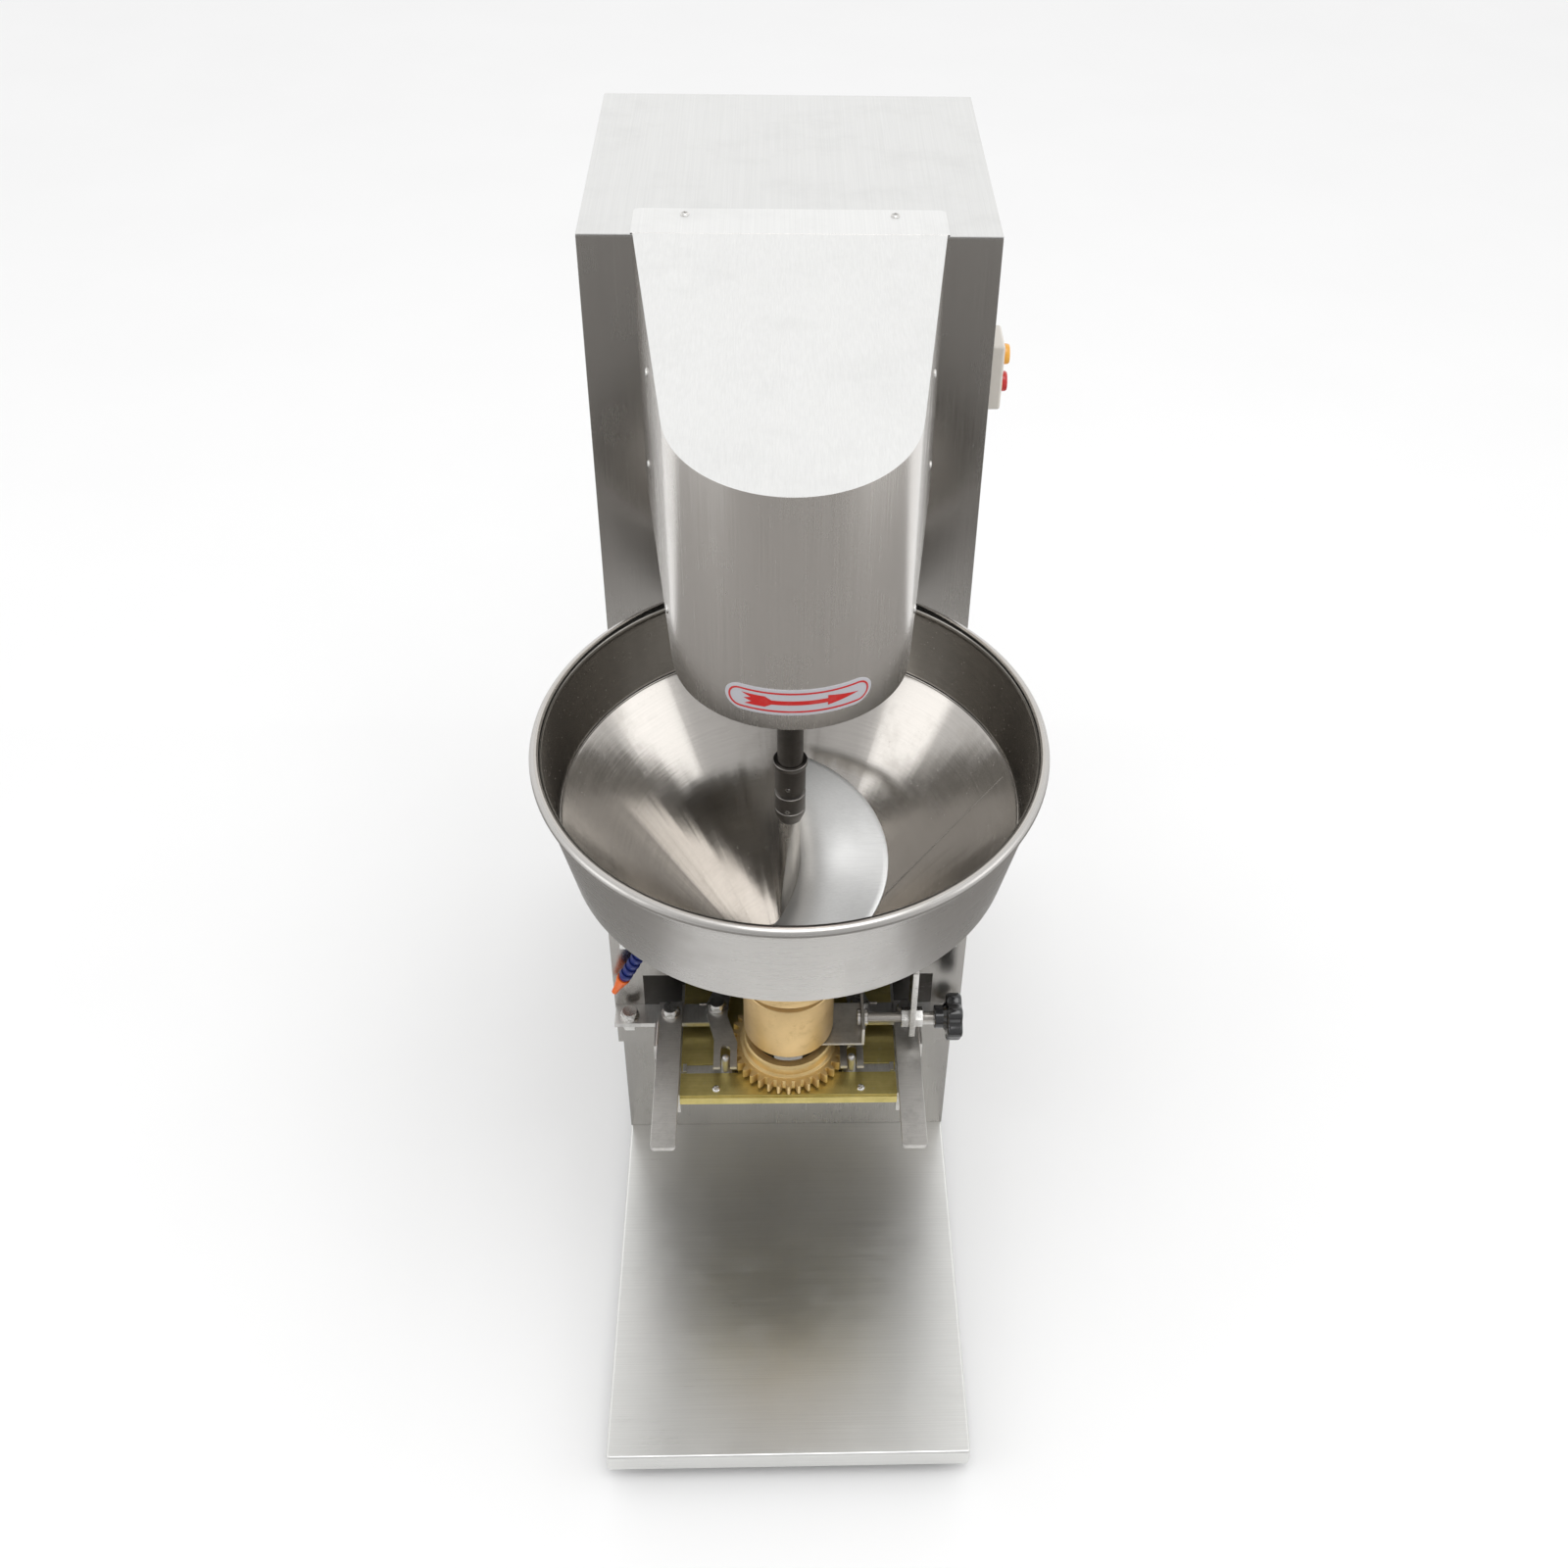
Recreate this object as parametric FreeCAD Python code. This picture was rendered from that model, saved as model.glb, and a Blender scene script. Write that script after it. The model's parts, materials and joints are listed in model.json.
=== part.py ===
"""Upright meatball forming machine: a hopper and auger over a bronze ball former with sliding knives.

Frame: +Z up, -Y towards the user, origin on the floor at the middle of the footprint.
"""
import FreeCAD, Part
import math
import os

Vector = FreeCAD.Vector
UP = Vector(0, 0, 1)
ACROSS = Vector(1, 0, 0)
BACK = Vector(0, 1, 0)

# ---- body: widths, depths and heights of the stainless casing
base_width = 370.0
base_length = 866.0
base_height = 24.0
base_sheet = 2.0
foot_radius = 18.0
foot_height = 20.0
foot_inset = 40.0
foot_taper = 0.85
base_corner = 4.0
base_edge = 2.5
column_width = 370.0
column_depth = 318.0
column_height = 1070.0
sheet = 1.5
lid_flange = 18.0
lid_clearance = 0.2
lid_notch = 16.0
lid_notch_depth = 6.0
column_flange = 14.0
column_way_margin = 40.0
column_way_gap = 20.0
head_way_margin = 6.0
rear_cover_sheet = 1.5
rear_cover_margin = 12.0
vent_length = 90.0
vent_height = 4.0
vent_pitch = 12.0
vent_count = 8
vent_levels = (0.22, 0.72)
vent_spread = 0.75
rear_screw_inset = 13.0
rear_screw_levels = (0.03, 0.5, 0.97)
cabinet_setback = 49.0
cabinet_height = 225.0
housing_setback = 45.0
housing_inset = 2.0
housing_height = 179.0
window_width = 303.0
window_bottom = 30.0
window_top = 110.0
bed_way_margin = 2.0
bed_way_drop = 5.0
axle_way_margin = 6.0
sleeve_way_margin = 2.0

# ---- screws and bolts
screw_head_radius = 4.2
screw_head_height = 2.0
screw_radius = 2.5
screw_length = 6.0
screw_slot = 0.8
screw_slot_depth = 0.6
bolt_radius = 5.0
bolt_head_flats = 17.0
bolt_head_height = 6.5
washer_radius = 10.0
washer_height = 1.6
nut_height = 8.0
adjuster_nut_flats = 18.0
bolt_tail = 1.5
hole_clearance = 0.3

# ---- hopper, neck and sleeve, all round the auger's axis
auger_reach = 250.0
support_plate = 8.0
support_plate_width = 340.0
support_plate_overhang = 23.0
neck_flange_radius = 54.0
neck_flange = 8.0
neck_radius = 30.0
neck_bore = 26.0
neck_collar_radius = 38.0
neck_collar_drop = 12.0
throat_radius = 42.0
cone_height = 220.0
cone_top_radius = 207.0
hopper_sheet = 2.0
hopper_flange = 5.0
skirt_drop = 39.0
skirt_radius = 201.5
rim_height = 293.0
rim_radius = 223.8
bead_radius = 4.2
sleeve_radius = 46.0
sleeve_top_gap = 25.0
sleeve_length = 71.0
sleeve_recess_radius = 38.0
sleeve_recess = 10.0
neck_drop = 82.0
neck_funnel = 16.0
throat_clearance = 0.5
neck_hole_clearance = 1.0
sleeve_chamfer = 1.0
sleeve_clearance = 0.1

angle_size = 25.0
angle_leg = 4.0
angle_left_x = -132.0
angle_right_x = 140.0
angle_screw_level = 0.6

# ---- ball former: bed, ring gear, knives, forks
bed_height = 272.0
bed_thickness = 12.0
bed_width = 222.0
bed_front = 59.0
bed_back = 90.0
drop_hole_radius = 30.0
ledge_width = 9.0
ledge_bar = 4.0
ledge_depth = 22.0
gear_module = 3.2
ring_teeth = 36
drive_teeth = 34
gear_face = 12.0
gear_lift = 3.0
gear_bore = 40.0
gear_hub_radius = 50.0
gear_hub_height = 13.0
pressure_angle = math.radians(20.0)
backlash = 0.35
running_clearance = 0.05
end_clearance = 0.2
seat_wall = 4.0
seat_drop = 2.0
hub_step = 3.0
hub_chamfer = 4.0
hub_edge = 2.0
drive_hub_wall = 8.0
drive_hub_height = 12.0
slider_offset = 26.0
slider_width = 10.0
slider_inner = 58.0
slider_clearance = 0.4
slider_slot_start = 6.0
slider_end_gap = 2.0
slider_stop = 4.0
slider_stop_rise = 2.0
bed_lip = 2.0
bed_lip_drop = 2.0
bed_screw_inset = 8.0
bed_side_gap = 0.2
bed_side_rise = 8.0
bed_rail_inset = 4.0
knife_pin_radius = 4.5
pin_gear_gap = 10.0
knife_pin_height = 21.0
blade_thickness = 3.0
blade_tip = 5.0
blade_width = 62.0
blade_length = 84.0
blade_notch = 15.0
blade_offset = 4.0
fork_pivot_out = 10.0
fork_pivot_y = 37.0
fork_plate = 4.0
fork_prong = 7.0
fork_slot_clearance = 0.5
fork_prong_end = 14.0
fork_boss_radius = 12.0
fork_tail_x = 58.0
fork_tail_y = 97.0
fork_roller_radius = 8.0
fork_lift = 1.5

# ---- shelves and tray arms
shelf_rise = 10.0
shelf_thickness = 6.0
shelf_depth = 25.0
shelf_gear_gap = 3.2
shelf_outer = 182.0
shelf_leg = 26.0
shelf_leg_thickness = 4.0
shelf_bolt_x = 166.5
shelf_bolt_inset = 14.5
arm_width = 25.0
arm_thickness = 5.0
arm_length = 178.0
arm_x = 123.5
arm_gusset_length = 32.0
arm_gusset_drop = 22.0
arm_gusset_start = 25.0
arm_gusset_sheet = 3.0
arm_corner = 4.0
arm_back_gap = 1.0

# ---- size gate and its screw
gate_rise = 37.0
gate_thickness = 3.0
gate_width = 52.0
gate_tip = 20.0
gate_flange_x = 74.5
gate_flange_height = 25.0
gate_screw_radius = 6.0
gate_screw_rise = 12.0
gate_screw_collar = 8.5
gate_collar_width = 4.0
bracket_x = 124.0
bracket_thickness = 6.0
bracket_width = 26.0
bracket_drop = 16.0
bracket_foot = 8.0
bracket_relief = 40.0
bracket_front_gap = 2.0
knob_x = 150.0
knob_hub_radius = 12.0
knob_hub_length = 12.0
knob_radius = 25.0
knob_thickness = 16.0
knob_lobes = 6
knob_bite_reach = 1.12
knob_bite_radius = 0.28

# ---- auger, its coupling and its drive in the head
auger_shaft_radius = 10.0
auger_top = 267.0
auger_flight_top = 188.0
auger_flight_radius = 93.0
auger_flight_sheet = 4.0
auger_pitch = 204.0
auger_turns = 0.75
feed_pitch = 34.0
feed_turns = 2.5
feed_clearance = 1.5
feed_sheet = 3.0
feed_drop = 18.0
flight_facets = 32
coupling_radius = 14.0
coupling_length = 72.0
coupling_lip = 1.5
flight_wall_gap = 9.0
flight_start = 88.0
shaft_tip_radius = 3.0
shaft_tip_length = 8.0
drive_shaft_radius = 11.5
head_gap = 100.0
head_radius = 100.0
head_width = 272.0
head_drop = 34.5
head_tab = 49.0
head_sheet = 1.5
head_tab_overlap = 2.0
head_tab_corner = 6.0
head_screw_spread = 0.34
head_side_screws = ((113.0, 191.0), (63.0, 66.0), (223.0, 33.0))
label_height = 26.0
label_width = 116.0
label_rise = 16.0
label_shift = 5.0
label_sheet = 0.5
head_plate = 10.0
head_plate_rise = 55.0
head_plate_width = 170.0
head_plate_tail = 15.0
cross_depth = 44.5
cross_height = 46.0
cross_sheet = 5.0
motor_hole_margin = 4.0
bearing_house_radius = 38.0
bearing_house_drop = 46.0
bearing_radius = 26.0
bearing_height = 15.0
bearing_floor = 4.0
bearing_flange = 14.0
bearing_flange_height = 8.0
bearing_bore_margin = 3.0
bearing_groove = 1.5
bearing_inner_ring = 5.0
bearing_outer_ring = 4.0
pulley_rise = 30.0
pulley_height = 24.0
auger_shaft_end = 8.0
motor_shaft_end = 6.0
motor_shaft_start = 12.0
auger_pulley_radius = 60.0
motor_pulley_radius = 45.0
groove_depth = 8.0
belt_height = 10.0
belt_thickness = 7.0
belt_clearance = 0.3
motor_setback = 130.0
motor_radius = 65.0
motor_length = 210.0
motor_shaft_radius = 9.5
motor_flange = 12.0
motor_flange_radius = 71.5
motor_cowl_radius = 62.4
motor_cowl_length = 40.0
terminal_depth = 34.0
terminal_sink = 12.0
terminal_width = 70.0
terminal_top = 60.0
terminal_height = 70.0

# ---- lower drive
drive_axle_radius = 10.0
axle_end = 20.0
cam_radius = 24.0
cam_offset = 5.0
cam_thickness = 7.0
reducer_width = 110.0
reducer_depth = 104.0
reducer_height = 102.0
reducer_front_gap = 4.0
reducer_corner = 6.0
reducer_bore_depth = 20.0
stand_height = 118.0
stand_sheet = 4.0
stand_side = 10.0
stand_tail = 20.0
lower_motor_radius = 50.0
lower_motor_length = 175.0
lower_cowl_radius = 47.5
lower_cowl_length = 30.0
lower_box_width = 64.0
lower_box_gap = 13.5
lower_box_length = 70.0
lower_box_height = 32.0
lower_box_sink = 8.0
cam_lift = 2.0

# ---- switch box and cable gland
box_depth = 20.0
box_width = 44.0
box_height = 70.0
box_setback = 80.0
box_level = 895.0
button_radius = 10.0
button_height = 7.0
button_spread = 30.0
button_gap = 0.4
button_well = 12.0
button_sink = 6.0
button_edge = 1.5
box_edge = 3.0
gland_radius = 11.0
gland_length = 14.0
gland_level = 60.0
gland_setback = 250.0
gland_hole_ratio = 0.7
gland_dome_ratio = 0.85
gland_bore_ratio = 0.45

# ---- jointed water hose
hose_radius = 7.0
hose_x = 148.0
hose_setback = 13.0
hose_fitting_flats = 17.0
hose_fitting_height = 8.0
hose_ball_drop = 12.0
hose_ball_radius = 5.0
hose_ball_gap = 0.3
hose_stem_radius = 3.5
hose_stem_length = 6.0
hose_start = 13.5
hose_cup_share = 0.45
hose_collar_share = 0.5
hose_neck_ratio = 0.78
hose_core_ratio = 0.6
hose_segment = 9.5
hose_count = 5
hose_lean = math.radians(26.0)
nozzle_length = 26.0
nozzle_tip_radius = 3.0
nozzle_bore_ratio = 0.6
nozzle_bore_share = 0.7

# ---- places that several pieces share
front_y = -(base_length + rear_cover_sheet + screw_head_height) / 2
column_back = front_y + base_length
column_front = column_back - column_depth
axis_y = column_front - auger_reach
base_top = foot_height + base_height
column_top = base_top + column_height
half_column = column_width / 2
housing_bottom = base_top + cabinet_height
housing_top = housing_bottom + housing_height
housing_front = axis_y + housing_setback
cabinet_front = housing_front + cabinet_setback
neck_flange_z = housing_top + support_plate
hopper_z = neck_flange_z + neck_flange
rim_z = hopper_z + rim_height
head_z = rim_z + head_gap
bed_z = base_top + bed_height
gear_z = bed_z + gear_lift
ring_pitch_radius = gear_module * ring_teeth / 2
drive_pitch_radius = gear_module * drive_teeth / 2
drive_y = axis_y + ring_pitch_radius + drive_pitch_radius
ring_tip_radius = ring_pitch_radius + gear_module
slider_y = axis_y - slider_offset
knife_pin_reach = math.sqrt(ring_tip_radius ** 2 - slider_offset ** 2) + pin_gear_gap
fork_pivot_x = knife_pin_reach + fork_pivot_out
shelf_inner = ring_tip_radius + shelf_gear_gap
shelf_z = bed_z + shelf_rise
shelf_top = shelf_z + shelf_thickness
fork_z = shelf_top + fork_lift
sleeve_top = neck_flange_z - sleeve_top_gap
sleeve_z = sleeve_top - sleeve_length
gate_z = bed_z + gate_rise
gate_screw_z = gate_z + gate_screw_rise
head_plate_z = head_z + head_plate_rise
pulley_z = head_plate_z + head_plate + pulley_rise
motor_y = column_front + motor_setback
hose_y = housing_front - hose_setback
hose_ball_z = housing_top - hose_ball_drop
hose_top = housing_top - hose_start


# ---- shapes used by several pieces
def block(x0, x1, y0, y1, z0, z1):
    """A box between two corners."""
    return Part.makeBox(x1 - x0, y1 - y0, z1 - z0, Vector(x0, y0, z0))


def rod(radius, x, y, z, length, direction=UP):
    """A cylinder that starts at a point and runs along a direction."""
    return Part.makeCylinder(radius, length, Vector(x, y, z), direction)


def prism(points, z, height):
    """A flat outline at height z, drawn out upwards."""
    corners = [Vector(x, y, z) for x, y in points]
    return Part.Face(Part.makePolygon(corners + corners[:1])).extrude(UP * height)


def turned(points, y):
    """A profile of (radius, z) points, turned about the vertical axis through y."""
    corners = [Vector(r, y, z) for r, z in points]
    return Part.Face(Part.makePolygon(corners + corners[:1])).revolve(Vector(0, y, 0), UP, 360)


def hexagon(flats, x, y, z, height, direction=UP):
    """A hexagonal head or nut, measured across its flats."""
    corner = flats / 2 / math.cos(math.pi / 6)
    points = [
        Vector(corner * math.cos(i * math.pi / 3), corner * math.sin(i * math.pi / 3), 0)
        for i in range(7)
    ]
    shape = Part.Face(Part.makePolygon(points)).extrude(UP * height)
    shape.Placement = FreeCAD.Placement(Vector(x, y, z), FreeCAD.Rotation(UP, direction))
    return shape


def mirrored(shape):
    """The same shape on the other side of the machine."""
    return shape.mirror(Vector(0, 0, 0), ACROSS)


def rounded_top(shape, z, radius):
    """Rounds every edge that lies flat at height z."""
    edges = [
        e for e in shape.Edges
        if abs(e.BoundBox.ZMin - z) < 0.01 and abs(e.BoundBox.ZMax - z) < 0.01
    ]
    return shape.makeFillet(radius, edges)


def pan_screw(x, y, z, direction):
    """A round-headed sheet-metal screw whose head sits at a point and faces a direction."""
    head = rod(screw_head_radius, 0, 0, 0, screw_head_height)
    head = rounded_top(head, screw_head_height, screw_head_height * 0.6)
    shank = rod(screw_radius, 0, 0, -screw_length, screw_length)
    slot = block(
        -screw_slot / 2, screw_slot / 2, -screw_head_radius, screw_head_radius,
        screw_head_height - screw_slot_depth, screw_head_height,
    )
    shape = head.fuse(shank).cut(slot)
    shape.Placement = FreeCAD.Placement(Vector(x, y, z), FreeCAD.Rotation(UP, direction))
    return shape


def hex_bolt(x, y, z, grip):
    """A hexagon bolt and washer whose washer sits at z, with its shank and nut below."""
    washer = rod(washer_radius, x, y, z, washer_height)
    head = hexagon(bolt_head_flats, x, y, z + washer_height, bolt_head_height)
    chamfer = Part.makeCone(
        bolt_head_flats * 0.72, bolt_head_flats * 0.44, bolt_head_height * 1.6,
        Vector(x, y, z + washer_height - bolt_head_height * 0.6), UP,
    )
    tail = grip + nut_height + bolt_tail
    shank = rod(bolt_radius, x, y, z - tail, tail + washer_height)
    nut = hexagon(bolt_head_flats, x, y, z - grip - nut_height, nut_height)
    return head.common(chamfer).fuse([washer, shank, nut])


def gear_outline(teeth, x, y, first_angle):
    """Involute teeth about a centre: a closed list of points, the first tooth at first_angle."""
    pitch = gear_module * teeth / 2
    base = pitch * math.cos(pressure_angle)
    tip = pitch + gear_module
    root = pitch - 1.25 * gear_module
    start = max(base, root)
    flare = math.tan(pressure_angle) - pressure_angle
    half_tooth = (math.pi * gear_module / 2 - backlash) / 2 / pitch
    flank = []
    for step in range(5):
        radius = start + (tip - start) * step / 4
        turn = math.acos(min(1.0, base / radius))
        flank.append((radius, half_tooth + flare - (math.tan(turn) - turn)))
    points = []
    for tooth in range(teeth):
        middle = first_angle + tooth * 2 * math.pi / teeth
        side = [(root, half_tooth + flare)] + flank
        polar = [(r, middle - a) for r, a in side] + [(r, middle + a) for r, a in reversed(side)]
        points += [(x + r * math.cos(a), y + r * math.sin(a)) for r, a in polar]
    return points


# ---- casing
def make_base_pan():
    pan = block(-base_width / 2, base_width / 2, front_y, column_back, foot_height, base_top)
    upright = [e for e in pan.Edges if e.BoundBox.ZLength > base_height / 2]
    pan = pan.makeFillet(base_corner, upright)
    pan = rounded_top(pan, base_top, base_edge)
    inside = block(
        -base_width / 2 + base_sheet, base_width / 2 - base_sheet,
        front_y + base_sheet, column_back - base_sheet,
        foot_height, base_top - base_sheet,
    )
    return pan.cut(inside)


def make_rubber_feet():
    feet = []
    for x in (-base_width / 2 + foot_inset, base_width / 2 - foot_inset):
        for y in (front_y + foot_inset, column_back - foot_inset):
            pad = Part.makeCone(foot_radius, foot_radius * foot_taper, foot_height, Vector(x, y, 0), UP)
            stud = rod(bolt_radius, x, y, foot_height, base_height - base_sheet)
            feet.append(pad.fuse(stud))
    return Part.makeCompound(feet)


def head_opening(margin):
    """The way from the column into the head, for the drive plate and the belt."""
    half = head_plate_width / 2 + margin
    return block(
        -half, half, column_front - 5, column_front + 5,
        head_plate_z - margin, pulley_z + pulley_height + margin,
    )


def make_column_shell():
    outer = block(-half_column, half_column, column_front, column_back, base_top, column_top - sheet)
    inner = block(
        -half_column + sheet, half_column - sheet, column_front + sheet, column_back + 1,
        base_top - 1, column_top,
    )
    lower_way = block(
        -half_column + column_way_margin, half_column - column_way_margin, column_front - 1, column_front + 5,
        base_top + column_way_gap, housing_top - column_way_gap,
    )
    shell = outer.cut(inner).cut(lower_way).cut(head_opening(head_way_margin))
    left = block(
        -half_column + sheet, -half_column + sheet + column_flange, column_back - sheet, column_back,
        base_top, column_top - sheet,
    )
    gland_hole = rod(
        gland_radius * gland_hole_ratio, half_column - 5, column_front + gland_setback,
        base_top + gland_level, 10, ACROSS
    )
    return shell.fuse([left, mirrored(left)]).cut(gland_hole)


def make_column_lid():
    lid = block(-half_column, half_column, column_front, column_back, column_top - sheet, column_top)
    inset = sheet + lid_clearance
    skirt = block(
        -half_column + inset, half_column - inset, column_front + inset, column_back - inset,
        column_top - sheet - lid_flange, column_top - sheet,
    )
    hollow = block(
        -half_column + 2 * inset, half_column - 2 * inset, column_front + 2 * inset, column_back - 2 * inset,
        column_top - sheet - lid_flange, column_top - sheet,
    )
    corner = block(
        -half_column, -half_column + sheet + lid_notch, column_back - lid_notch_depth, column_back + 1,
        column_top - sheet - lid_flange, column_top - sheet,
    )
    skirt = skirt.cut(hollow).cut(corner).cut(mirrored(corner))
    return lid.fuse(skirt)


def make_rear_cover():
    half = half_column - rear_cover_margin / 2
    cover = block(
        -half, half, column_back, column_back + rear_cover_sheet,
        base_top + rear_cover_margin, column_top - rear_cover_margin,
    )
    vents = []
    for row in range(vent_count):
        for level in vent_levels:
            z = base_top + column_height * level + row * vent_pitch
            for x in (-vent_length * vent_spread, vent_length * vent_spread):
                vents.append(block(
                    x - vent_length / 2, x + vent_length / 2, column_back - 1,
                    column_back + rear_cover_sheet + 1, z, z + vent_height,
                ))
    return cover.cut(Part.makeCompound(vents))


def make_lower_cabinet():
    outer = block(-half_column, half_column, cabinet_front, column_front, base_top, housing_bottom)
    inner = block(
        -half_column + sheet, half_column - sheet, cabinet_front + sheet, column_front + 1,
        base_top - 1, housing_bottom + 1,
    )
    return outer.cut(inner)


def make_front_housing():
    half = half_column - housing_inset
    outer = block(-half, half, housing_front, column_front, housing_bottom, housing_top)
    inner = block(
        -half + sheet, half - sheet, housing_front + sheet, column_front + 1,
        housing_bottom + sheet, housing_top + 1,
    )
    window = block(
        -window_width / 2, window_width / 2, housing_front - 1, housing_front + sheet + 1,
        housing_bottom + window_bottom, housing_bottom + window_top,
    )
    bed_way = block(
        -bed_width / 2 - bed_way_margin, bed_width / 2 + bed_way_margin,
        housing_front - 1, housing_front + sheet + 1,
        housing_bottom + window_bottom - bed_way_drop, housing_bottom + window_bottom + 1,
    )
    axle_way = rod(drive_axle_radius + axle_way_margin, 0, drive_y, housing_bottom - 1, 5)
    sleeve_way = rod(sleeve_radius + sleeve_way_margin, 0, axis_y, gate_z, sleeve_top + 3 - gate_z)
    return outer.cut(inner).cut(window).cut(bed_way).cut(axle_way).cut(sleeve_way)


# ---- drive head
def head_side(inset=0):
    """The two ends of the head cover's flat right side: where it meets the nose, and its back corner."""
    radius = head_radius - inset
    half = head_width / 2 - inset
    reach = math.hypot(half, auger_reach)
    touch = math.atan2(auger_reach, half) - math.acos(radius / reach)
    return (
        Vector(radius * math.cos(touch), axis_y + radius * math.sin(touch), 0),
        Vector(half, column_front, 0),
    )


def head_outline(inset):
    """Plan of the head cover: tapering sides that run into a half-round nose."""
    radius = head_radius - inset
    half = head_width / 2 - inset
    right = head_side(inset)[0]
    left = Vector(-right.x, right.y, 0)
    nose = Part.Arc(right, Vector(0, axis_y - radius, 0), left).toShape()
    corner_left = Vector(-half, column_front, 0)
    corner_right = Vector(half, column_front, 0)
    edges = [
        nose,
        Part.makeLine(left, corner_left),
        Part.makeLine(corner_left, corner_right),
        Part.makeLine(corner_right, right),
    ]
    return Part.Face(Part.Wire(edges))


def head_body(inset, bottom, top):
    """The head cover's filled shape, under a top that falls towards its nose."""
    shape = head_outline(inset)
    shape.translate(UP * bottom)
    shape = shape.extrude(UP * (top + 50 - bottom))
    nose_y = axis_y - head_radius
    far = nose_y - 50
    fall = head_drop / (column_front - nose_y)
    above = [
        Vector(-300, column_front + 1, top + fall),
        Vector(-300, far, top - fall * (column_front - far)),
        Vector(-300, far, top + 100),
        Vector(-300, column_front + 1, top + 100),
    ]
    wedge = Part.Face(Part.makePolygon(above + above[:1])).extrude(ACROSS * 600)
    return shape.cut(wedge)


def make_head_cover():
    outer = head_body(0, head_z, column_top + head_sheet)
    inner = head_body(head_sheet, head_z - 1, column_top)
    tab = block(
        -head_width / 2 - head_tab_overlap, head_width / 2 + head_tab_overlap,
        column_front - 0.5, column_front + head_tab,
        column_top, column_top + head_sheet,
    )
    front_corners = [e for e in tab.Edges if e.BoundBox.ZLength > 1 and e.BoundBox.YMin > column_front]
    return outer.cut(inner).fuse(tab.makeFillet(head_tab_corner, front_corners))


def make_direction_label():
    band = turned([
        (head_radius, head_z + label_rise),
        (head_radius + label_sheet, head_z + label_rise),
        (head_radius + label_sheet, head_z + label_rise + label_height),
        (head_radius, head_z + label_rise + label_height),
    ], axis_y)
    half = label_width / 2 - label_height / 2
    middle = head_z + label_rise + label_height / 2
    length = head_radius + 20
    front = axis_y - length
    slot = block(
        label_shift - half, label_shift + half, front, axis_y,
        middle - label_height / 2, middle + label_height / 2,
    )
    ends = [
        rod(label_height / 2, label_shift + side * half, front, middle, length, BACK)
        for side in (-1, 1)
    ]
    return band.common(slot.fuse(ends))


def make_head_mount_plate():
    half = head_plate_width / 2
    back = motor_y + motor_radius + head_plate_tail
    plate = block(-half, half, axis_y, back, head_plate_z, head_plate_z + head_plate)
    nose = rod(half, 0, axis_y, head_plate_z, head_plate)
    shaft_hole = rod(bearing_radius, 0, axis_y, head_plate_z - 1, head_plate + 2)
    motor_hole = rod(motor_shaft_radius + motor_hole_margin, 0, motor_y, head_plate_z - 1, head_plate + 2)
    cross = block(
        -half_column + sheet, half_column - sheet, column_front + sheet, column_front + sheet + cross_depth,
        head_plate_z - cross_height, head_plate_z,
    )
    cross_hollow = block(
        -half_column, half_column, column_front + sheet + cross_sheet, column_front + sheet + cross_depth + 1,
        head_plate_z - cross_height - 1, head_plate_z - cross_sheet,
    )
    bearing_way = block(
        -half, half, column_front - 10, column_front + sheet, head_plate_z - cross_height - 4, head_plate_z
    )
    return plate.fuse([nose, cross.cut(cross_hollow)]).cut(shaft_hole).cut(motor_hole).cut(bearing_way)


def make_bearing_housing():
    bottom = head_plate_z - bearing_house_drop
    bearings_z = (bottom + bearing_floor, head_plate_z - bearing_height)
    body = rod(bearing_house_radius, 0, axis_y, bottom, bearing_house_drop)
    flange = rod(
        bearing_house_radius + bearing_flange, 0, axis_y,
        head_plate_z - bearing_flange_height, bearing_flange_height,
    )
    bore = rod(drive_shaft_radius + bearing_bore_margin, 0, axis_y, bottom - 1, bearing_house_drop + 2)
    shape = body.fuse(flange).cut(bore)
    for z in bearings_z:
        shape = shape.cut(rod(bearing_radius, 0, axis_y, z, bearing_height))
    return shape


def make_head_bearings():
    bottom = head_plate_z - bearing_house_drop
    inner = drive_shaft_radius + bearing_inner_ring
    outer = bearing_radius - bearing_outer_ring
    rings = []
    for z in (bottom + bearing_floor, head_plate_z - bearing_height):
        ring = rod(bearing_radius, 0, axis_y, z, bearing_height)
        groove = turned([
            (inner, z - 1), (outer, z - 1), (outer, z + bearing_groove), (inner, z + bearing_groove),
        ], axis_y)
        top_groove = groove.copy()
        top_groove.translate(UP * (bearing_height + 1 - bearing_groove))
        bore = rod(drive_shaft_radius + running_clearance, 0, axis_y, z - 1, bearing_height + 2)
        rings.append(ring.cut(bore).cut(groove).cut(top_groove))
    return Part.makeCompound(rings)


def make_head_shaft():
    bottom = hopper_z + auger_top - coupling_length / 2
    top = pulley_z + pulley_height + auger_shaft_end
    return rod(drive_shaft_radius, 0, axis_y, bottom, top - bottom)


def pulley(radius, bore, y):
    """A grooved pulley at the belt's height."""
    groove = belt_height / 2 + belt_clearance
    middle = pulley_z + pulley_height / 2
    return turned([
        (bore, pulley_z), (radius, pulley_z), (radius, middle - groove),
        (radius - groove_depth, middle - groove), (radius - groove_depth, middle + groove),
        (radius, middle + groove), (radius, pulley_z + pulley_height), (bore, pulley_z + pulley_height),
    ], y)


def make_auger_pulley():
    return pulley(auger_pulley_radius, drive_shaft_radius, axis_y)


def make_motor_pulley():
    return pulley(motor_pulley_radius, motor_shaft_radius, motor_y)


def make_motor_shaft():
    bottom = head_plate_z - motor_shaft_start
    top = pulley_z + pulley_height + motor_shaft_end
    return rod(motor_shaft_radius, 0, motor_y, bottom, top - bottom)


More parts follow.
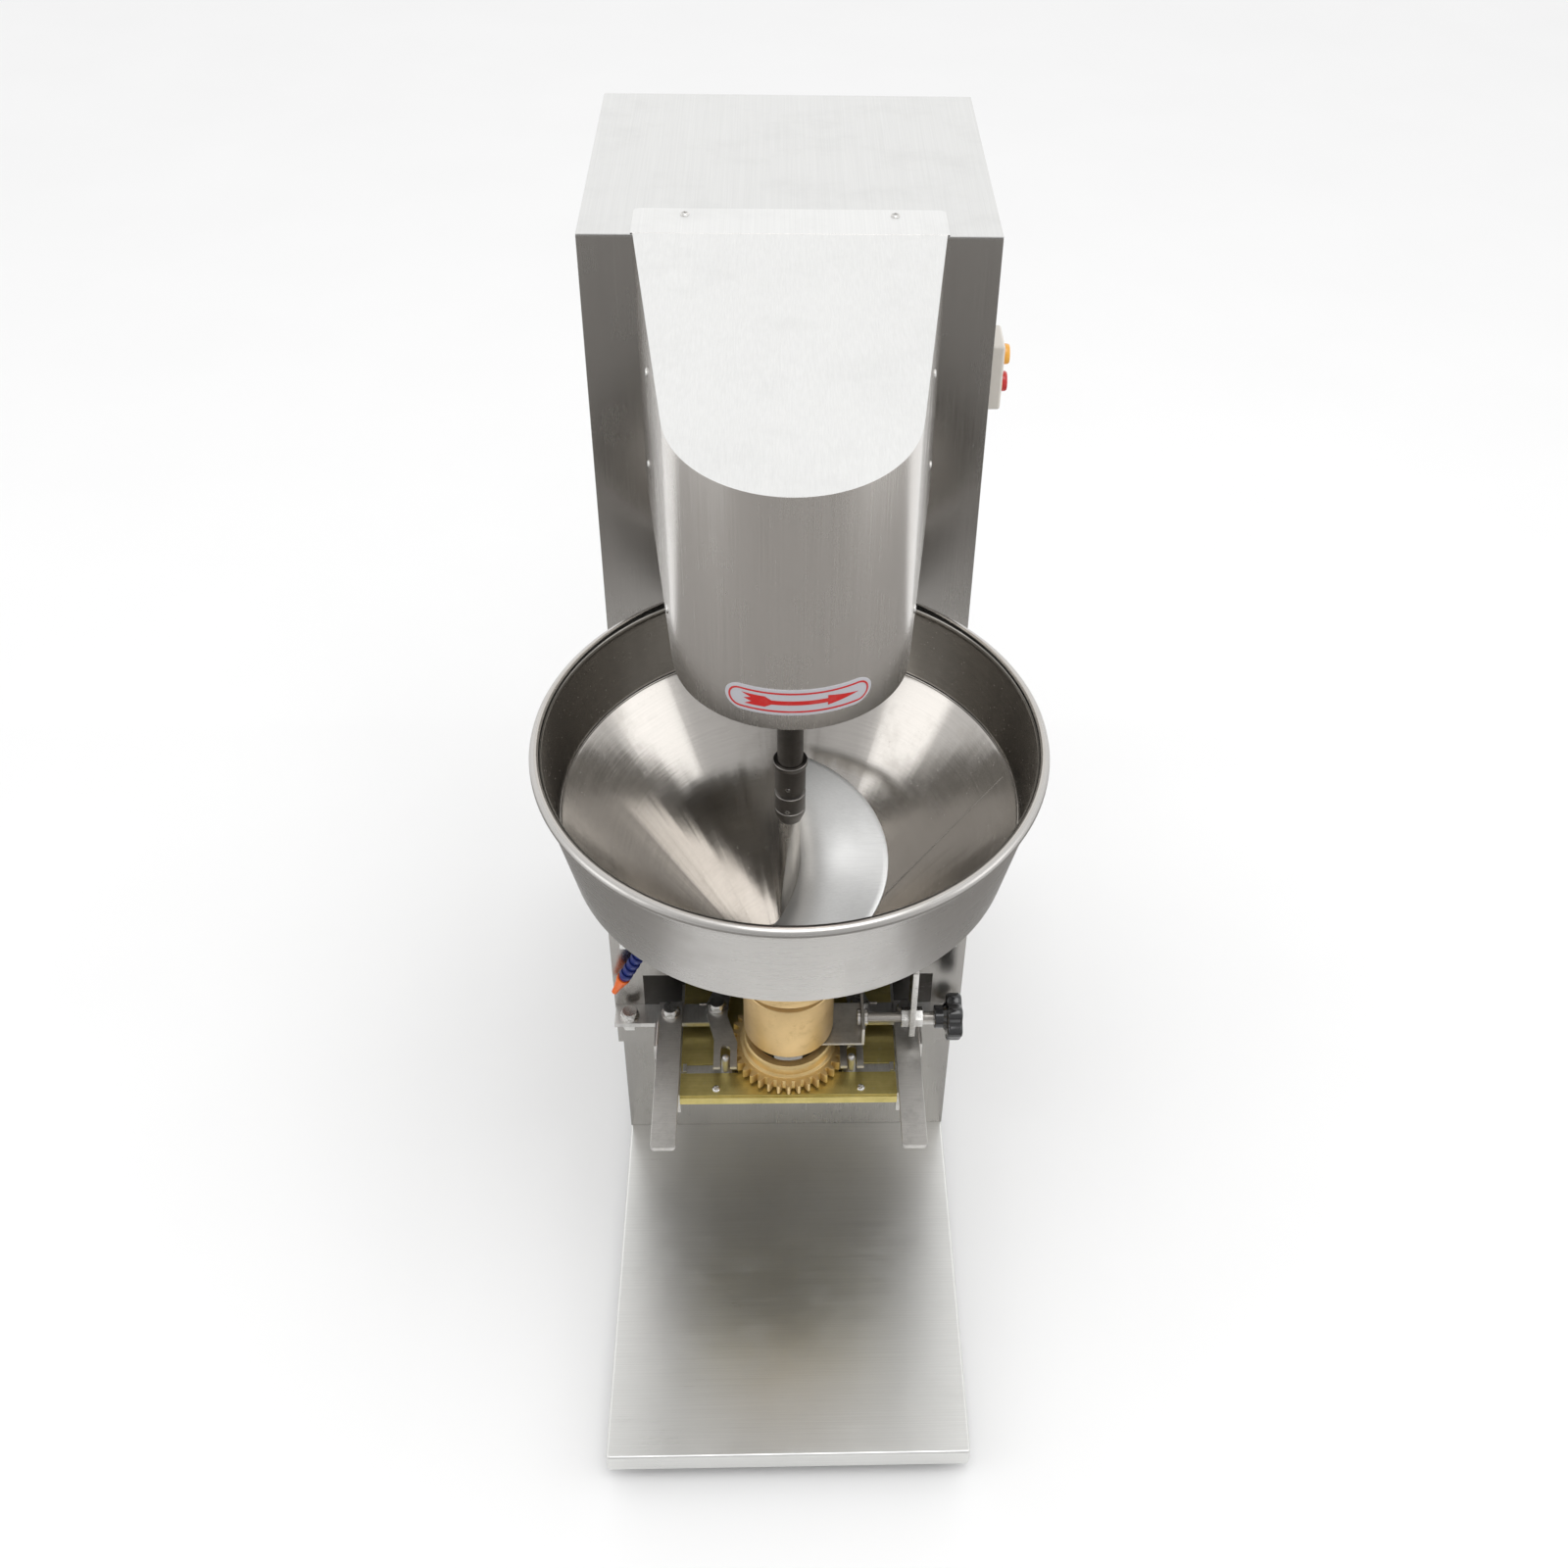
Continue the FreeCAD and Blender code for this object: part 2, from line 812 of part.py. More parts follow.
def belt_loop(extra):
    """The belt's path round both pulleys, grown by extra."""
    front = auger_pulley_radius - groove_depth + belt_clearance + extra
    rear = motor_pulley_radius - groove_depth + belt_clearance + extra
    gap = motor_y - axis_y
    lean = math.asin((front - rear) / gap)
    z = pulley_z + pulley_height / 2 - belt_height / 2

    def point(radius, y, angle):
        return Vector(radius * math.cos(angle), y + radius * math.sin(angle), z)

    edges = [
        Part.Arc(point(front, axis_y, lean), point(front, axis_y, -math.pi / 2),
                 point(front, axis_y, math.pi - lean)).toShape(),
        Part.makeLine(point(front, axis_y, math.pi - lean), point(rear, motor_y, math.pi - lean)),
        Part.Arc(point(rear, motor_y, math.pi - lean), point(rear, motor_y, math.pi / 2),
                 point(rear, motor_y, lean)).toShape(),
        Part.makeLine(point(rear, motor_y, lean), point(front, axis_y, lean)),
    ]
    return Part.Face(Part.Wire(edges)).extrude(UP * belt_height)


def make_drive_belt():
    return belt_loop(belt_thickness).cut(belt_loop(0))


def make_auger_motor():
    top = head_plate_z
    body = rod(motor_radius, 0, motor_y, top - motor_length, motor_length - motor_flange)
    flange = rod(motor_flange_radius, 0, motor_y, top - motor_flange, motor_flange)
    cowl = rod(motor_cowl_radius, 0, motor_y, top - motor_length - motor_cowl_length, motor_cowl_length)
    bore = rod(
        motor_shaft_radius + running_clearance, 0, motor_y,
        top - motor_shaft_start - 0.5, motor_shaft_start + 1,
    )
    box = block(
        motor_radius - terminal_sink, motor_radius + terminal_depth,
        motor_y - terminal_width / 2, motor_y + terminal_width / 2,
        top - terminal_top - terminal_height, top - terminal_top,
    )
    return body.fuse([flange, cowl, box]).cut(bore)


# ---- hopper and auger
def make_hopper():
    slope = (rim_radius - skirt_radius) / (rim_height - cone_height + skirt_drop)
    skirt_z = hopper_z + cone_height - skirt_drop
    cone_z = hopper_z + cone_height
    band = turned([
        (skirt_radius, skirt_z), (rim_radius, rim_z), (rim_radius - hopper_sheet, rim_z),
        (skirt_radius - hopper_sheet, skirt_z),
    ], axis_y)
    top_radius = skirt_radius + slope * skirt_drop - hopper_sheet * 0.5
    cone = turned([
        (throat_radius + hopper_sheet, hopper_z), (top_radius, cone_z),
        (top_radius - hopper_sheet * 1.3, cone_z + hopper_sheet),
        (throat_radius, hopper_z + hopper_sheet * 0.6), (throat_radius, hopper_z),
    ], axis_y)
    section = Part.makeCircle(bead_radius, Vector(rim_radius, axis_y, rim_z), BACK)
    bead = Part.Face(Part.Wire(section)).revolve(Vector(0, axis_y, 0), UP, 360)
    flange = rod(neck_flange_radius, 0, axis_y, hopper_z, hopper_flange)
    flange = flange.cut(rod(throat_radius + throat_clearance, 0, axis_y, hopper_z - 1, hopper_flange + 2))
    return band.fuse([cone, bead, flange])


def make_hopper_support_plate():
    half = support_plate_width / 2
    plate = block(
        -half, half, housing_front - support_plate_overhang, column_front, housing_top, neck_flange_z,
    )
    tongue = rod(neck_flange_radius, 0, axis_y, housing_top, support_plate)
    bridge = block(
        -neck_flange_radius, neck_flange_radius, axis_y, housing_front, housing_top, neck_flange_z
    )
    hole = rod(neck_radius + neck_hole_clearance, 0, axis_y, housing_top - 1, support_plate + 2)
    return plate.fuse([tongue, bridge]).cut(hole)


def hopper_bracket(x):
    """An angle that ties the support plate to the front housing, its outer corner at x."""
    front = housing_front - support_plate_overhang
    angle = block(x, x + angle_size, front, housing_front, housing_top - angle_size, housing_top)
    inner = block(
        x - 1, x + angle_size + 1, front - 1, housing_front - angle_leg,
        housing_top - angle_size - 1, housing_top - angle_leg,
    )
    return angle.cut(inner)


def make_hopper_brackets():
    return Part.makeCompound([hopper_bracket(angle_left_x), hopper_bracket(angle_right_x)])


def make_hopper_neck():
    bottom = neck_flange_z - neck_drop
    collar_z = housing_top - neck_collar_drop
    body = turned([
        (throat_radius, hopper_z), (neck_flange_radius, hopper_z), (neck_flange_radius, neck_flange_z),
        (neck_radius, neck_flange_z), (neck_radius, bottom), (neck_bore, bottom),
        (neck_bore, neck_flange_z - neck_funnel),
        (neck_bore + 2, neck_flange_z), (throat_radius - 1, hopper_z),
    ], axis_y)
    collar = turned([
        (neck_radius - 1, collar_z), (neck_collar_radius, collar_z),
        (neck_collar_radius, housing_top), (neck_radius - 1, housing_top),
    ], axis_y)
    return body.fuse(collar)


def make_forming_sleeve():
    shoulder = neck_flange_z - neck_drop
    return turned([
        (neck_bore, sleeve_z), (sleeve_radius - sleeve_chamfer, sleeve_z),
        (sleeve_radius, sleeve_z + sleeve_chamfer), (sleeve_radius, sleeve_top - sleeve_chamfer),
        (sleeve_radius - sleeve_chamfer, sleeve_top),
        (sleeve_recess_radius, sleeve_top), (sleeve_recess_radius, sleeve_top - sleeve_recess),
        (neck_radius + sleeve_clearance, sleeve_top - sleeve_recess),
        (neck_radius + sleeve_clearance, shoulder),
        (neck_bore, shoulder),
    ], axis_y)


def helix_strip(radius_at, inner, top_z, pitch, turns, start, thickness):
    """A screw flight in flat facets: it winds down from top_z, its outer radius given at each height."""
    steps = max(8, int(turns * flight_facets))
    sections = []
    for i in range(steps + 1):
        share = i / steps
        z = top_z - pitch * turns * share
        angle = start - 2 * math.pi * turns * share
        corners = []
        for radius, drop in ((inner, 0), (radius_at(z), 0), (radius_at(z), thickness), (inner, thickness)):
            corners.append(Vector(radius * math.cos(angle), axis_y + radius * math.sin(angle), z - drop))
        sections.append(corners)

    def facet(*corners):
        return Part.Face(Part.makePolygon(list(corners) + [corners[0]]))

    faces = [facet(*sections[0][:3]), facet(sections[0][0], sections[0][2], sections[0][3])]
    faces += [facet(*sections[-1][:3]), facet(sections[-1][0], sections[-1][2], sections[-1][3])]
    for upper, lower in zip(sections, sections[1:]):
        for side in range(4):
            following = (side + 1) % 4
            faces.append(facet(upper[side], upper[following], lower[side]))
            faces.append(facet(upper[following], lower[following], lower[side]))
    shell = Part.makeShell(faces)
    shell.sewShape()
    solid = Part.makeSolid(shell)
    if solid.Volume < 0:
        solid.reverse()
    return solid


def make_auger_flight():
    slope = (cone_top_radius - throat_radius) / cone_height

    def paddle_radius(z):
        wall = throat_radius + slope * (z - hopper_z)
        return min(auger_flight_radius, wall - flight_wall_gap)

    def feed_radius(z):
        return neck_bore - feed_clearance

    paddle = helix_strip(
        paddle_radius, auger_shaft_radius, hopper_z + auger_flight_top, auger_pitch, auger_turns,
        math.radians(flight_start), auger_flight_sheet,
    )
    feed_top = neck_flange_z - feed_drop
    turns = min(feed_turns, (feed_top - sleeve_z - shaft_tip_length) / feed_pitch)
    feed = helix_strip(feed_radius, auger_shaft_radius, feed_top, feed_pitch, turns, 0.0, feed_sheet)
    return Part.makeCompound([paddle, feed])


def make_auger_shaft():
    bottom = sleeve_z + 2
    top = hopper_z + auger_top
    start = bottom + shaft_tip_length
    tip = Part.makeCone(shaft_tip_radius, auger_shaft_radius, shaft_tip_length, Vector(0, axis_y, bottom), UP)
    return tip.fuse(rod(auger_shaft_radius, 0, axis_y, start, top - coupling_length / 2 - start))


def make_auger_coupling():
    middle = hopper_z + auger_top - coupling_length / 2
    bottom = middle - coupling_length / 2
    top = middle + coupling_length / 2
    lip = coupling_lip
    return turned([
        (auger_shaft_radius, bottom), (coupling_radius - 3, bottom), (coupling_radius, bottom + 8),
        (coupling_radius, middle - 4), (coupling_radius - lip, middle - 3),
        (coupling_radius - lip, middle + 3), (coupling_radius, middle + 4),
        (coupling_radius, top - 5), (coupling_radius + lip, top - 4), (coupling_radius + lip, top),
        (drive_shaft_radius, top), (drive_shaft_radius, middle), (auger_shaft_radius, middle),
    ], axis_y)


# ---- ball former
def make_slide_bed():
    half = bed_width / 2
    plate = block(-half, half, axis_y - bed_front, axis_y + bed_back, bed_z - bed_thickness, bed_z)
    hole = rod(drop_hole_radius, 0, axis_y, bed_z - bed_thickness - 1, bed_thickness + 2)
    gap = slider_width / 2 + slider_clearance
    slot = block(
        slider_inner - slider_slot_start, half + 1, slider_y - gap, slider_y + gap,
        bed_z - bed_thickness - 1, bed_z + 1,
    )
    lip = block(
        -half, half, axis_y - bed_front - bed_lip, axis_y - bed_front,
        bed_z - bed_thickness, bed_z - bed_lip_drop,
    )
    return plate.cut(hole).cut(slot).cut(mirrored(slot)).fuse(lip)


def make_bed_supports():
    """Two upright bars beside the bed, each with a narrow ledge that the bed rests on."""
    outer = bed_width / 2 + ledge_bar
    bed_bottom = bed_z - bed_thickness
    front = axis_y - bed_front + bed_rail_inset
    ledge = block(outer - ledge_width, outer, front, cabinet_front, bed_bottom - ledge_bar, bed_bottom)
    side = block(
        bed_width / 2 + bed_side_gap, outer, front, housing_front - 1, bed_bottom, bed_bottom + bed_side_rise
    )
    web = block(
        outer - ledge_bar, outer, front, housing_front - 1, bed_bottom - ledge_depth, bed_bottom - ledge_bar
    )
    gap = slider_width / 2 + slider_clearance
    slider_way = block(
        bed_width / 2 - 1, outer + 1, slider_y - gap,
        slider_y + gap, bed_bottom, bed_bottom + bed_side_rise + 1
    )
    right = ledge.fuse([side, web]).cut(slider_way)
    return Part.makeCompound([right, mirrored(right)])


def make_gear_seat():
    outer = gear_bore - running_clearance
    top = gear_z + gear_face + gear_hub_height - seat_drop
    return turned([
        (outer - seat_wall, bed_z), (gear_hub_radius - seat_drop, bed_z),
        (gear_hub_radius - seat_drop, gear_z - end_clearance),
        (outer, gear_z - end_clearance), (outer, top), (outer - seat_wall, top),
    ], axis_y)


def make_forming_gear():
    first = math.pi / 2
    blank = prism(gear_outline(ring_teeth, 0, axis_y, first), gear_z, gear_face)
    hub_top = gear_z + gear_face + gear_hub_height
    hub = turned([
        (gear_bore - 2, gear_z + 1), (gear_hub_radius, gear_z + 1),
        (gear_hub_radius, gear_z + gear_face + 1),
        (gear_hub_radius - hub_step, gear_z + gear_face + 2),
        (gear_hub_radius - hub_step, hub_top - hub_chamfer),
        (gear_hub_radius - hub_step - hub_edge, hub_top), (gear_bore - 2, hub_top),
    ], axis_y)
    return blank.fuse(hub).cut(rod(gear_bore, 0, axis_y, gear_z - 1, gear_face + gear_hub_height + 2))


def make_drive_gear():
    pitch_angle = 2 * math.pi / drive_teeth
    first = -math.pi / 2 + pitch_angle / 2
    blank = prism(gear_outline(drive_teeth, 0, drive_y, first), gear_z, gear_face)
    hub = rod(drive_axle_radius + drive_hub_wall, 0, drive_y, gear_z - drive_hub_height, drive_hub_height)
    length = drive_hub_height + gear_face
    return blank.fuse(hub).cut(rod(drive_axle_radius, 0, drive_y, gear_z - drive_hub_height - 1, length + 2))


def make_drive_axle():
    bottom = base_top + stand_height + reducer_height - reducer_bore_depth
    top = gear_z + gear_face + cam_thickness + axle_end
    return rod(drive_axle_radius, 0, drive_y, bottom, top - bottom)


def make_knife_cam():
    z = gear_z + gear_face + cam_lift
    disc = rod(cam_radius, 0, drive_y + cam_offset, z, cam_thickness)
    return disc.cut(rod(drive_axle_radius, 0, drive_y, z - 1, cam_thickness + 2))


def make_knife_right():
    """Slider bar in its groove, the pin that the fork moves, and the blade under the bed."""
    bar_low = bed_z - bed_thickness - slider_clearance - blade_thickness
    half = slider_width / 2
    bar_bottom = bed_z - bed_thickness + slider_clearance
    bar_end = bed_width / 2 - slider_end_gap
    bar = block(slider_inner, bar_end, slider_y - half, slider_y + half, bar_bottom, bed_z - 1)
    neck = block(
        slider_inner, blade_tip + blade_length, slider_y - half, slider_y + half, bar_low, bar_bottom,
    )
    stop = block(
        bar_end - slider_stop, bar_end, slider_y - half, slider_y + half, bed_z - 1, bed_z + slider_stop_rise
    )
    stem = rod(
        knife_pin_radius, knife_pin_reach, slider_y, bed_z - 1, knife_pin_height - knife_pin_radius + 1,
    )
    dome = Part.makeSphere(
        knife_pin_radius, Vector(knife_pin_reach, slider_y, bed_z + knife_pin_height - knife_pin_radius)
    )
    blade = block(
        blade_tip, blade_tip + blade_length,
        axis_y - blade_width / 2 - blade_offset, axis_y + blade_width / 2,
        bar_low, bar_low + blade_thickness,
    )
    notch = rod(blade_notch, 0, axis_y, bar_low - 1, blade_thickness + 2)
    return bar.fuse([neck, stop, stem, dome, blade.cut(notch)])


def make_knife_left():
    return mirrored(make_knife_right())


def make_fork_right():
    """Flat rocker: a slotted end round the knife's pin, a pivot hole, and a tail with a roller boss."""
    gap = knife_pin_radius + fork_slot_clearance
    half = gap + fork_prong
    pivot_y = axis_y + fork_pivot_y
    tail_y = axis_y + fork_tail_y
    prong_end = slider_y - fork_prong_end
    web_end = slider_y + knife_pin_radius + 4
    body = prism([
        (knife_pin_reach - half, prong_end), (knife_pin_reach + half, prong_end),
        (knife_pin_reach + half, web_end + 12), (fork_pivot_x + fork_boss_radius - 1, pivot_y - 8),
        (fork_pivot_x + fork_boss_radius - 1, pivot_y + 4), (fork_tail_x + 7, tail_y),
        (fork_tail_x - 5, tail_y), (fork_pivot_x - fork_boss_radius + 1, pivot_y),
        (fork_pivot_x - fork_boss_radius + 1, pivot_y - 12), (knife_pin_reach - half, web_end + 8),
    ], fork_z, fork_plate)
    slot = block(
        knife_pin_reach - gap, knife_pin_reach + gap, prong_end - 1, web_end - gap + 4,
        fork_z - 1, fork_z + fork_plate + 1,
    )
    slot_end = rod(gap, knife_pin_reach, web_end - gap + 4, fork_z - 1, fork_plate + 2)
    boss = rod(fork_boss_radius, fork_pivot_x, pivot_y, fork_z, fork_plate)
    roller = rod(fork_roller_radius, fork_tail_x, tail_y, fork_z, fork_plate + 4)
    hole = rod(bolt_radius + running_clearance, fork_pivot_x, pivot_y, fork_z - 1, fork_plate + 2)
    return body.fuse([boss, roller]).cut(slot).cut(slot_end).cut(hole)


def make_fork_left():
    return mirrored(make_fork_right())


def make_shelf_right():
    shelf = block(
        shelf_inner, shelf_outer, housing_front - shelf_depth, housing_front, shelf_z, shelf_top
    )
    leg = block(
        window_width / 2 + 2, shelf_outer, housing_front - shelf_leg_thickness, housing_front,
        shelf_z - shelf_leg, shelf_z,
    )
    shape = shelf.fuse(leg)
    for x, y in bolt_places():
        shape = shape.cut(rod(bolt_radius + hole_clearance, x, y, shelf_z - 1, shelf_thickness + 2))
    return shape


def make_shelf_left():
    return mirrored(make_shelf_right())


def bolt_places():
    """Plan positions of the right-hand bolts: shelf end, tray arm and fork pivot."""
    y = housing_front - shelf_bolt_inset
    return ((shelf_bolt_x, y), (arm_x, y), (fork_pivot_x, axis_y + fork_pivot_y))


def make_hex_bolts():
    shelf_bolt, arm_bolt, fork_bolt = bolt_places()
    right = [
        hex_bolt(shelf_bolt[0], shelf_bolt[1], shelf_top, shelf_thickness),
        hex_bolt(arm_bolt[0], arm_bolt[1], shelf_top + arm_thickness, shelf_thickness + arm_thickness),
        pivot_bolt(fork_bolt[0], fork_bolt[1]),
    ]
    return Part.makeCompound(right + [mirrored(bolt) for bolt in right])


def pivot_bolt(x, y):
    """The shouldered bolt that a fork turns on: its spacer lifts the fork off the shelf."""
    top = fork_z + fork_plate + end_clearance
    bolt = hex_bolt(x, y, top, top - shelf_z)
    spacer = rod(washer_radius, x, y, shelf_top, fork_z - shelf_top - end_clearance)
    return bolt.fuse(spacer)


def make_tray_arm_right():
    y = housing_front - shelf_bolt_inset
    back = housing_front - arm_back_gap
    front = back - arm_length
    half = arm_width / 2
    bar = block(arm_x - half, arm_x + half, front, back, shelf_top, shelf_top + arm_thickness)
    corners = [e for e in bar.Edges if e.BoundBox.ZLength > 1 and e.BoundBox.YMax < front + 1]
    bar = bar.makeFillet(arm_corner, corners)
    gusset = block(
        arm_x + half, arm_x + half + arm_gusset_sheet,
        back - arm_gusset_start - arm_gusset_length, back - arm_gusset_start,
        shelf_top + arm_thickness - arm_gusset_drop, shelf_top + arm_thickness,
    )
    hole = rod(bolt_radius + hole_clearance, arm_x, y, shelf_top - 1, arm_thickness + 2)
    return bar.fuse(gusset).cut(hole)


def make_tray_arm_left():
    return mirrored(make_tray_arm_right())


# ---- size gate
def make_gate_plate():
    half = gate_width / 2
    flange_end = gate_flange_x + gate_thickness
    plate = block(gate_tip, flange_end, axis_y - half, axis_y + half, gate_z, gate_z + gate_thickness)
    flange = block(
        gate_flange_x, flange_end, axis_y - half, axis_y + half, gate_z, gate_z + gate_flange_height,
    )
    hole = rod(
        gate_screw_radius + running_clearance, gate_flange_x - 1,
        axis_y, gate_screw_z, gate_thickness + 2, ACROSS
    )
    return plate.fuse(flange).cut(hole)


def make_adjusting_screw():
    start = gate_flange_x - gate_collar_width
    screw = rod(gate_screw_radius, start, axis_y, gate_screw_z, knob_x + knob_hub_length - start, ACROSS)
    inner = rod(
        gate_screw_collar, gate_flange_x + gate_thickness + end_clearance, axis_y, gate_screw_z,
        gate_collar_width, ACROSS,
    )
    outer = rod(gate_screw_collar, start, axis_y, gate_screw_z, gate_collar_width - end_clearance, ACROSS)
    return screw.fuse([inner, outer])


def make_adjuster_bracket():
    half = bracket_width / 2
    end = bracket_x + bracket_thickness
    back = housing_front - bracket_front_gap
    bottom = gate_screw_z - bracket_drop
    plate = block(bracket_x, end, axis_y - half, back, bottom, housing_top)
    relief = block(
        bracket_x - 1, end + 1, axis_y + half, housing_front, bottom - 1, housing_top - bracket_relief
    )
    foot = block(bracket_x, end, axis_y - half, back, housing_top - bracket_foot, housing_top)
    hole = rod(
        gate_screw_radius + hole_clearance, bracket_x - 1, axis_y, gate_screw_z, bracket_thickness + 2, ACROSS
    )
    return plate.cut(relief).fuse(foot).cut(hole)


def make_adjuster_nuts():
    bore = rod(gate_screw_radius + hole_clearance, bracket_x - 20, axis_y, gate_screw_z, 60, ACROSS)
    inner = hexagon(adjuster_nut_flats, bracket_x - nut_height, axis_y, gate_screw_z, nut_height, ACROSS)
    outer = hexagon(
        adjuster_nut_flats, bracket_x + bracket_thickness, axis_y, gate_screw_z, nut_height, ACROSS,
    )
    return Part.makeCompound([inner.cut(bore), outer.cut(bore)])


def make_star_knob():
    hub = rod(knob_hub_radius, knob_x, axis_y, gate_screw_z, knob_hub_length, ACROSS)
    start = knob_x + knob_hub_length
    disc = rod(knob_radius, start, axis_y, gate_screw_z, knob_thickness, ACROSS)
    bites = []
    for i in range(knob_lobes):
        angle = 2 * math.pi * (i + 0.5) / knob_lobes
        reach = knob_radius * knob_bite_reach
        bites.append(rod(
            knob_radius * knob_bite_radius, start - 1,
            axis_y + reach * math.cos(angle), gate_screw_z + reach * math.sin(angle),
            knob_thickness + 2, ACROSS,
        ))
    disc = disc.cut(Part.makeCompound(bites))
    bore = rod(gate_screw_radius, knob_x - 1, axis_y, gate_screw_z, knob_hub_length + 1, ACROSS)
    return hub.fuse(disc).cut(bore)


# ---- lower drive
def make_gearmotor_stand():
    half = reducer_width / 2 + stand_side
    front = reducer_front()
    back = front + reducer_depth + stand_tail
    outer = block(-half, half, front, back, base_top, base_top + stand_height)
    inner = block(
        -half + stand_sheet, half - stand_sheet, front - 1, back + 1, base_top + stand_sheet,
        base_top + stand_height - stand_sheet,
    )
    return outer.cut(inner)


def reducer_front():
    return cabinet_front + sheet + reducer_front_gap


def make_gear_reducer():
    half = reducer_width / 2
    front = reducer_front()
    bottom = base_top + stand_height
    body = block(-half, half, front, front + reducer_depth, bottom, bottom + reducer_height)
    upright = [e for e in body.Edges if e.BoundBox.ZLength > 50]
    body = body.makeFillet(reducer_corner, upright)
    bore = rod(
        drive_axle_radius + running_clearance, 0, drive_y,
        bottom + reducer_height - reducer_bore_depth - 0.5, reducer_bore_depth + 1,
    )
    return body.cut(bore)


def make_lower_motor():
    start = reducer_front() + reducer_depth
    z = base_top + stand_height + reducer_height / 2
    body = rod(lower_motor_radius, 0, start, z, lower_motor_length, BACK)
    cowl = rod(lower_cowl_radius, 0, start + lower_motor_length, z, lower_cowl_length, BACK)
    top = z + lower_motor_radius
    box = block(
        -lower_box_width / 2, lower_box_width / 2,
        column_front + lower_box_gap, column_front + lower_box_gap + lower_box_length,
        top - lower_box_sink, top + lower_box_height,
    )
    return body.fuse([cowl, box])


# ---- controls, cable gland and hose
def make_switch_box():
    x = half_column
    y = column_front + box_setback
    z = base_top + box_level
    body = block(
        x, x + box_depth, y - box_width / 2, y + box_width / 2, z - box_height / 2, z + box_height / 2,
    )
    edges = [e for e in body.Edges if e.BoundBox.XMin > x + 1 or e.BoundBox.XLength > 5]
    body = body.makeFillet(box_edge, edges)
    for side in (-1, 1):
        body = body.cut(rod(
            button_radius + button_gap, x + box_depth - button_well, y, z + side * button_spread / 2,
            button_well + 1, ACROSS,
        ))
    return body


def push_button(side):
    """A button in its well: side +1 is the upper one."""
    x = half_column + box_depth - button_sink
    y = column_front + box_setback
    z = base_top + box_level + side * button_spread / 2
    button = rod(button_radius, x, y, z, button_sink + button_height, ACROSS)
    rim = [e for e in button.Edges if e.BoundBox.XMin > x + button_height]
    return button.makeFillet(button_edge, rim)


def make_start_button():
    return push_button(1)


def make_stop_button():
    return push_button(-1)


def make_cable_gland():
    y = column_front + gland_setback
    z = base_top + gland_level
    nut = hexagon(gland_radius * 2, half_column, y, z, gland_length * 0.5, ACROSS)
    dome = rod(gland_radius * gland_dome_ratio, half_column, y, z, gland_length, ACROSS)
    bore = rod(gland_radius * gland_bore_ratio, half_column - 1, y, z, gland_length + 2, ACROSS)
    return nut.fuse(dome).cut(bore)


def hose_turn(shape):
    """Leans a piece of the hose outwards about its fitting."""
    pivot = Vector(-hose_x, hose_y, hose_ball_z)
    shape.rotate(pivot, BACK, math.degrees(hose_lean))
    return shape


def make_hose_fitting():
    bottom = housing_top - hose_fitting_height
    body = hexagon(hose_fitting_flats, -hose_x, hose_y, bottom, hose_fitting_height)
    ball = Part.makeSphere(hose_ball_radius, Vector(-hose_x, hose_y, hose_ball_z))
    return body.fuse(ball).fuse(rod(hose_stem_radius, -hose_x, hose_y, hose_ball_z, hose_stem_length))


def make_hose_segments():
    cup_height = hose_segment * hose_cup_share
    links = []
    for i in range(hose_count):
        z = hose_top - (i + 1) * hose_segment
        cup = Part.makeCone(
            hose_radius * hose_neck_ratio, hose_radius, cup_height, Vector(-hose_x, hose_y, z), UP
        )
        collar = rod(hose_radius, -hose_x, hose_y, z + cup_height, hose_segment * hose_collar_share)
        links.append(cup.fuse(collar))
    socket = Part.makeSphere(hose_ball_radius + hose_ball_gap, Vector(-hose_x, hose_y, hose_ball_z))
    links[0] = links[0].cut(socket)
    core = rod(
        hose_radius * hose_core_ratio, -hose_x, hose_y,
        hose_top - hose_count * hose_segment, (hose_count - 1) * hose_segment,
    )
    return hose_turn(links[0].fuse(links[1:] + [core]))


def make_hose_nozzle():
    bottom = hose_top - hose_count * hose_segment - nozzle_length
    cone = Part.makeCone(
        nozzle_tip_radius, hose_radius, nozzle_length, Vector(-hose_x, hose_y, bottom), UP
    )
    bore = rod(
        nozzle_tip_radius * nozzle_bore_ratio, -hose_x, hose_y, bottom - 1, nozzle_length * nozzle_bore_share
    )
    return hose_turn(cone.cut(bore))


def make_panel_screws():
    """Every round-headed screw: head cover, rear cover, bed and hopper brackets."""
    screws = []
    rear_face = column_back + rear_cover_sheet
    for x in (-half_column + rear_screw_inset, half_column - rear_screw_inset):
        for share in rear_screw_levels:
            screws.append(pan_screw(x, rear_face, base_top + column_height * share, BACK))
    for x in (-head_width * head_screw_spread, head_width * head_screw_spread):
        screws.append(pan_screw(x, column_front + head_tab * 0.75, column_top + head_sheet, UP))
    for x in (-bed_width / 3, bed_width / 3):
        screws.append(pan_screw(x, axis_y - bed_front + bed_screw_inset, bed_z, UP))
    for x in (angle_left_x, angle_right_x):
        middle = x + angle_size / 2
        z = housing_top - angle_size * angle_screw_level
        screws.append(pan_screw(middle, housing_front - angle_leg, z, -BACK))
    right, back_right = head_side()
    along = right - back_right
    outward = Vector(-along.y, along.x, 0).normalize()
    for setback, rise in head_side_screws:
        place = back_right + along * (setback / auger_reach)
        screw = pan_screw(place.x, place.y, head_z + rise, outward)
        screws += [screw, mirrored(screw)]
    return Part.makeCompound(screws)


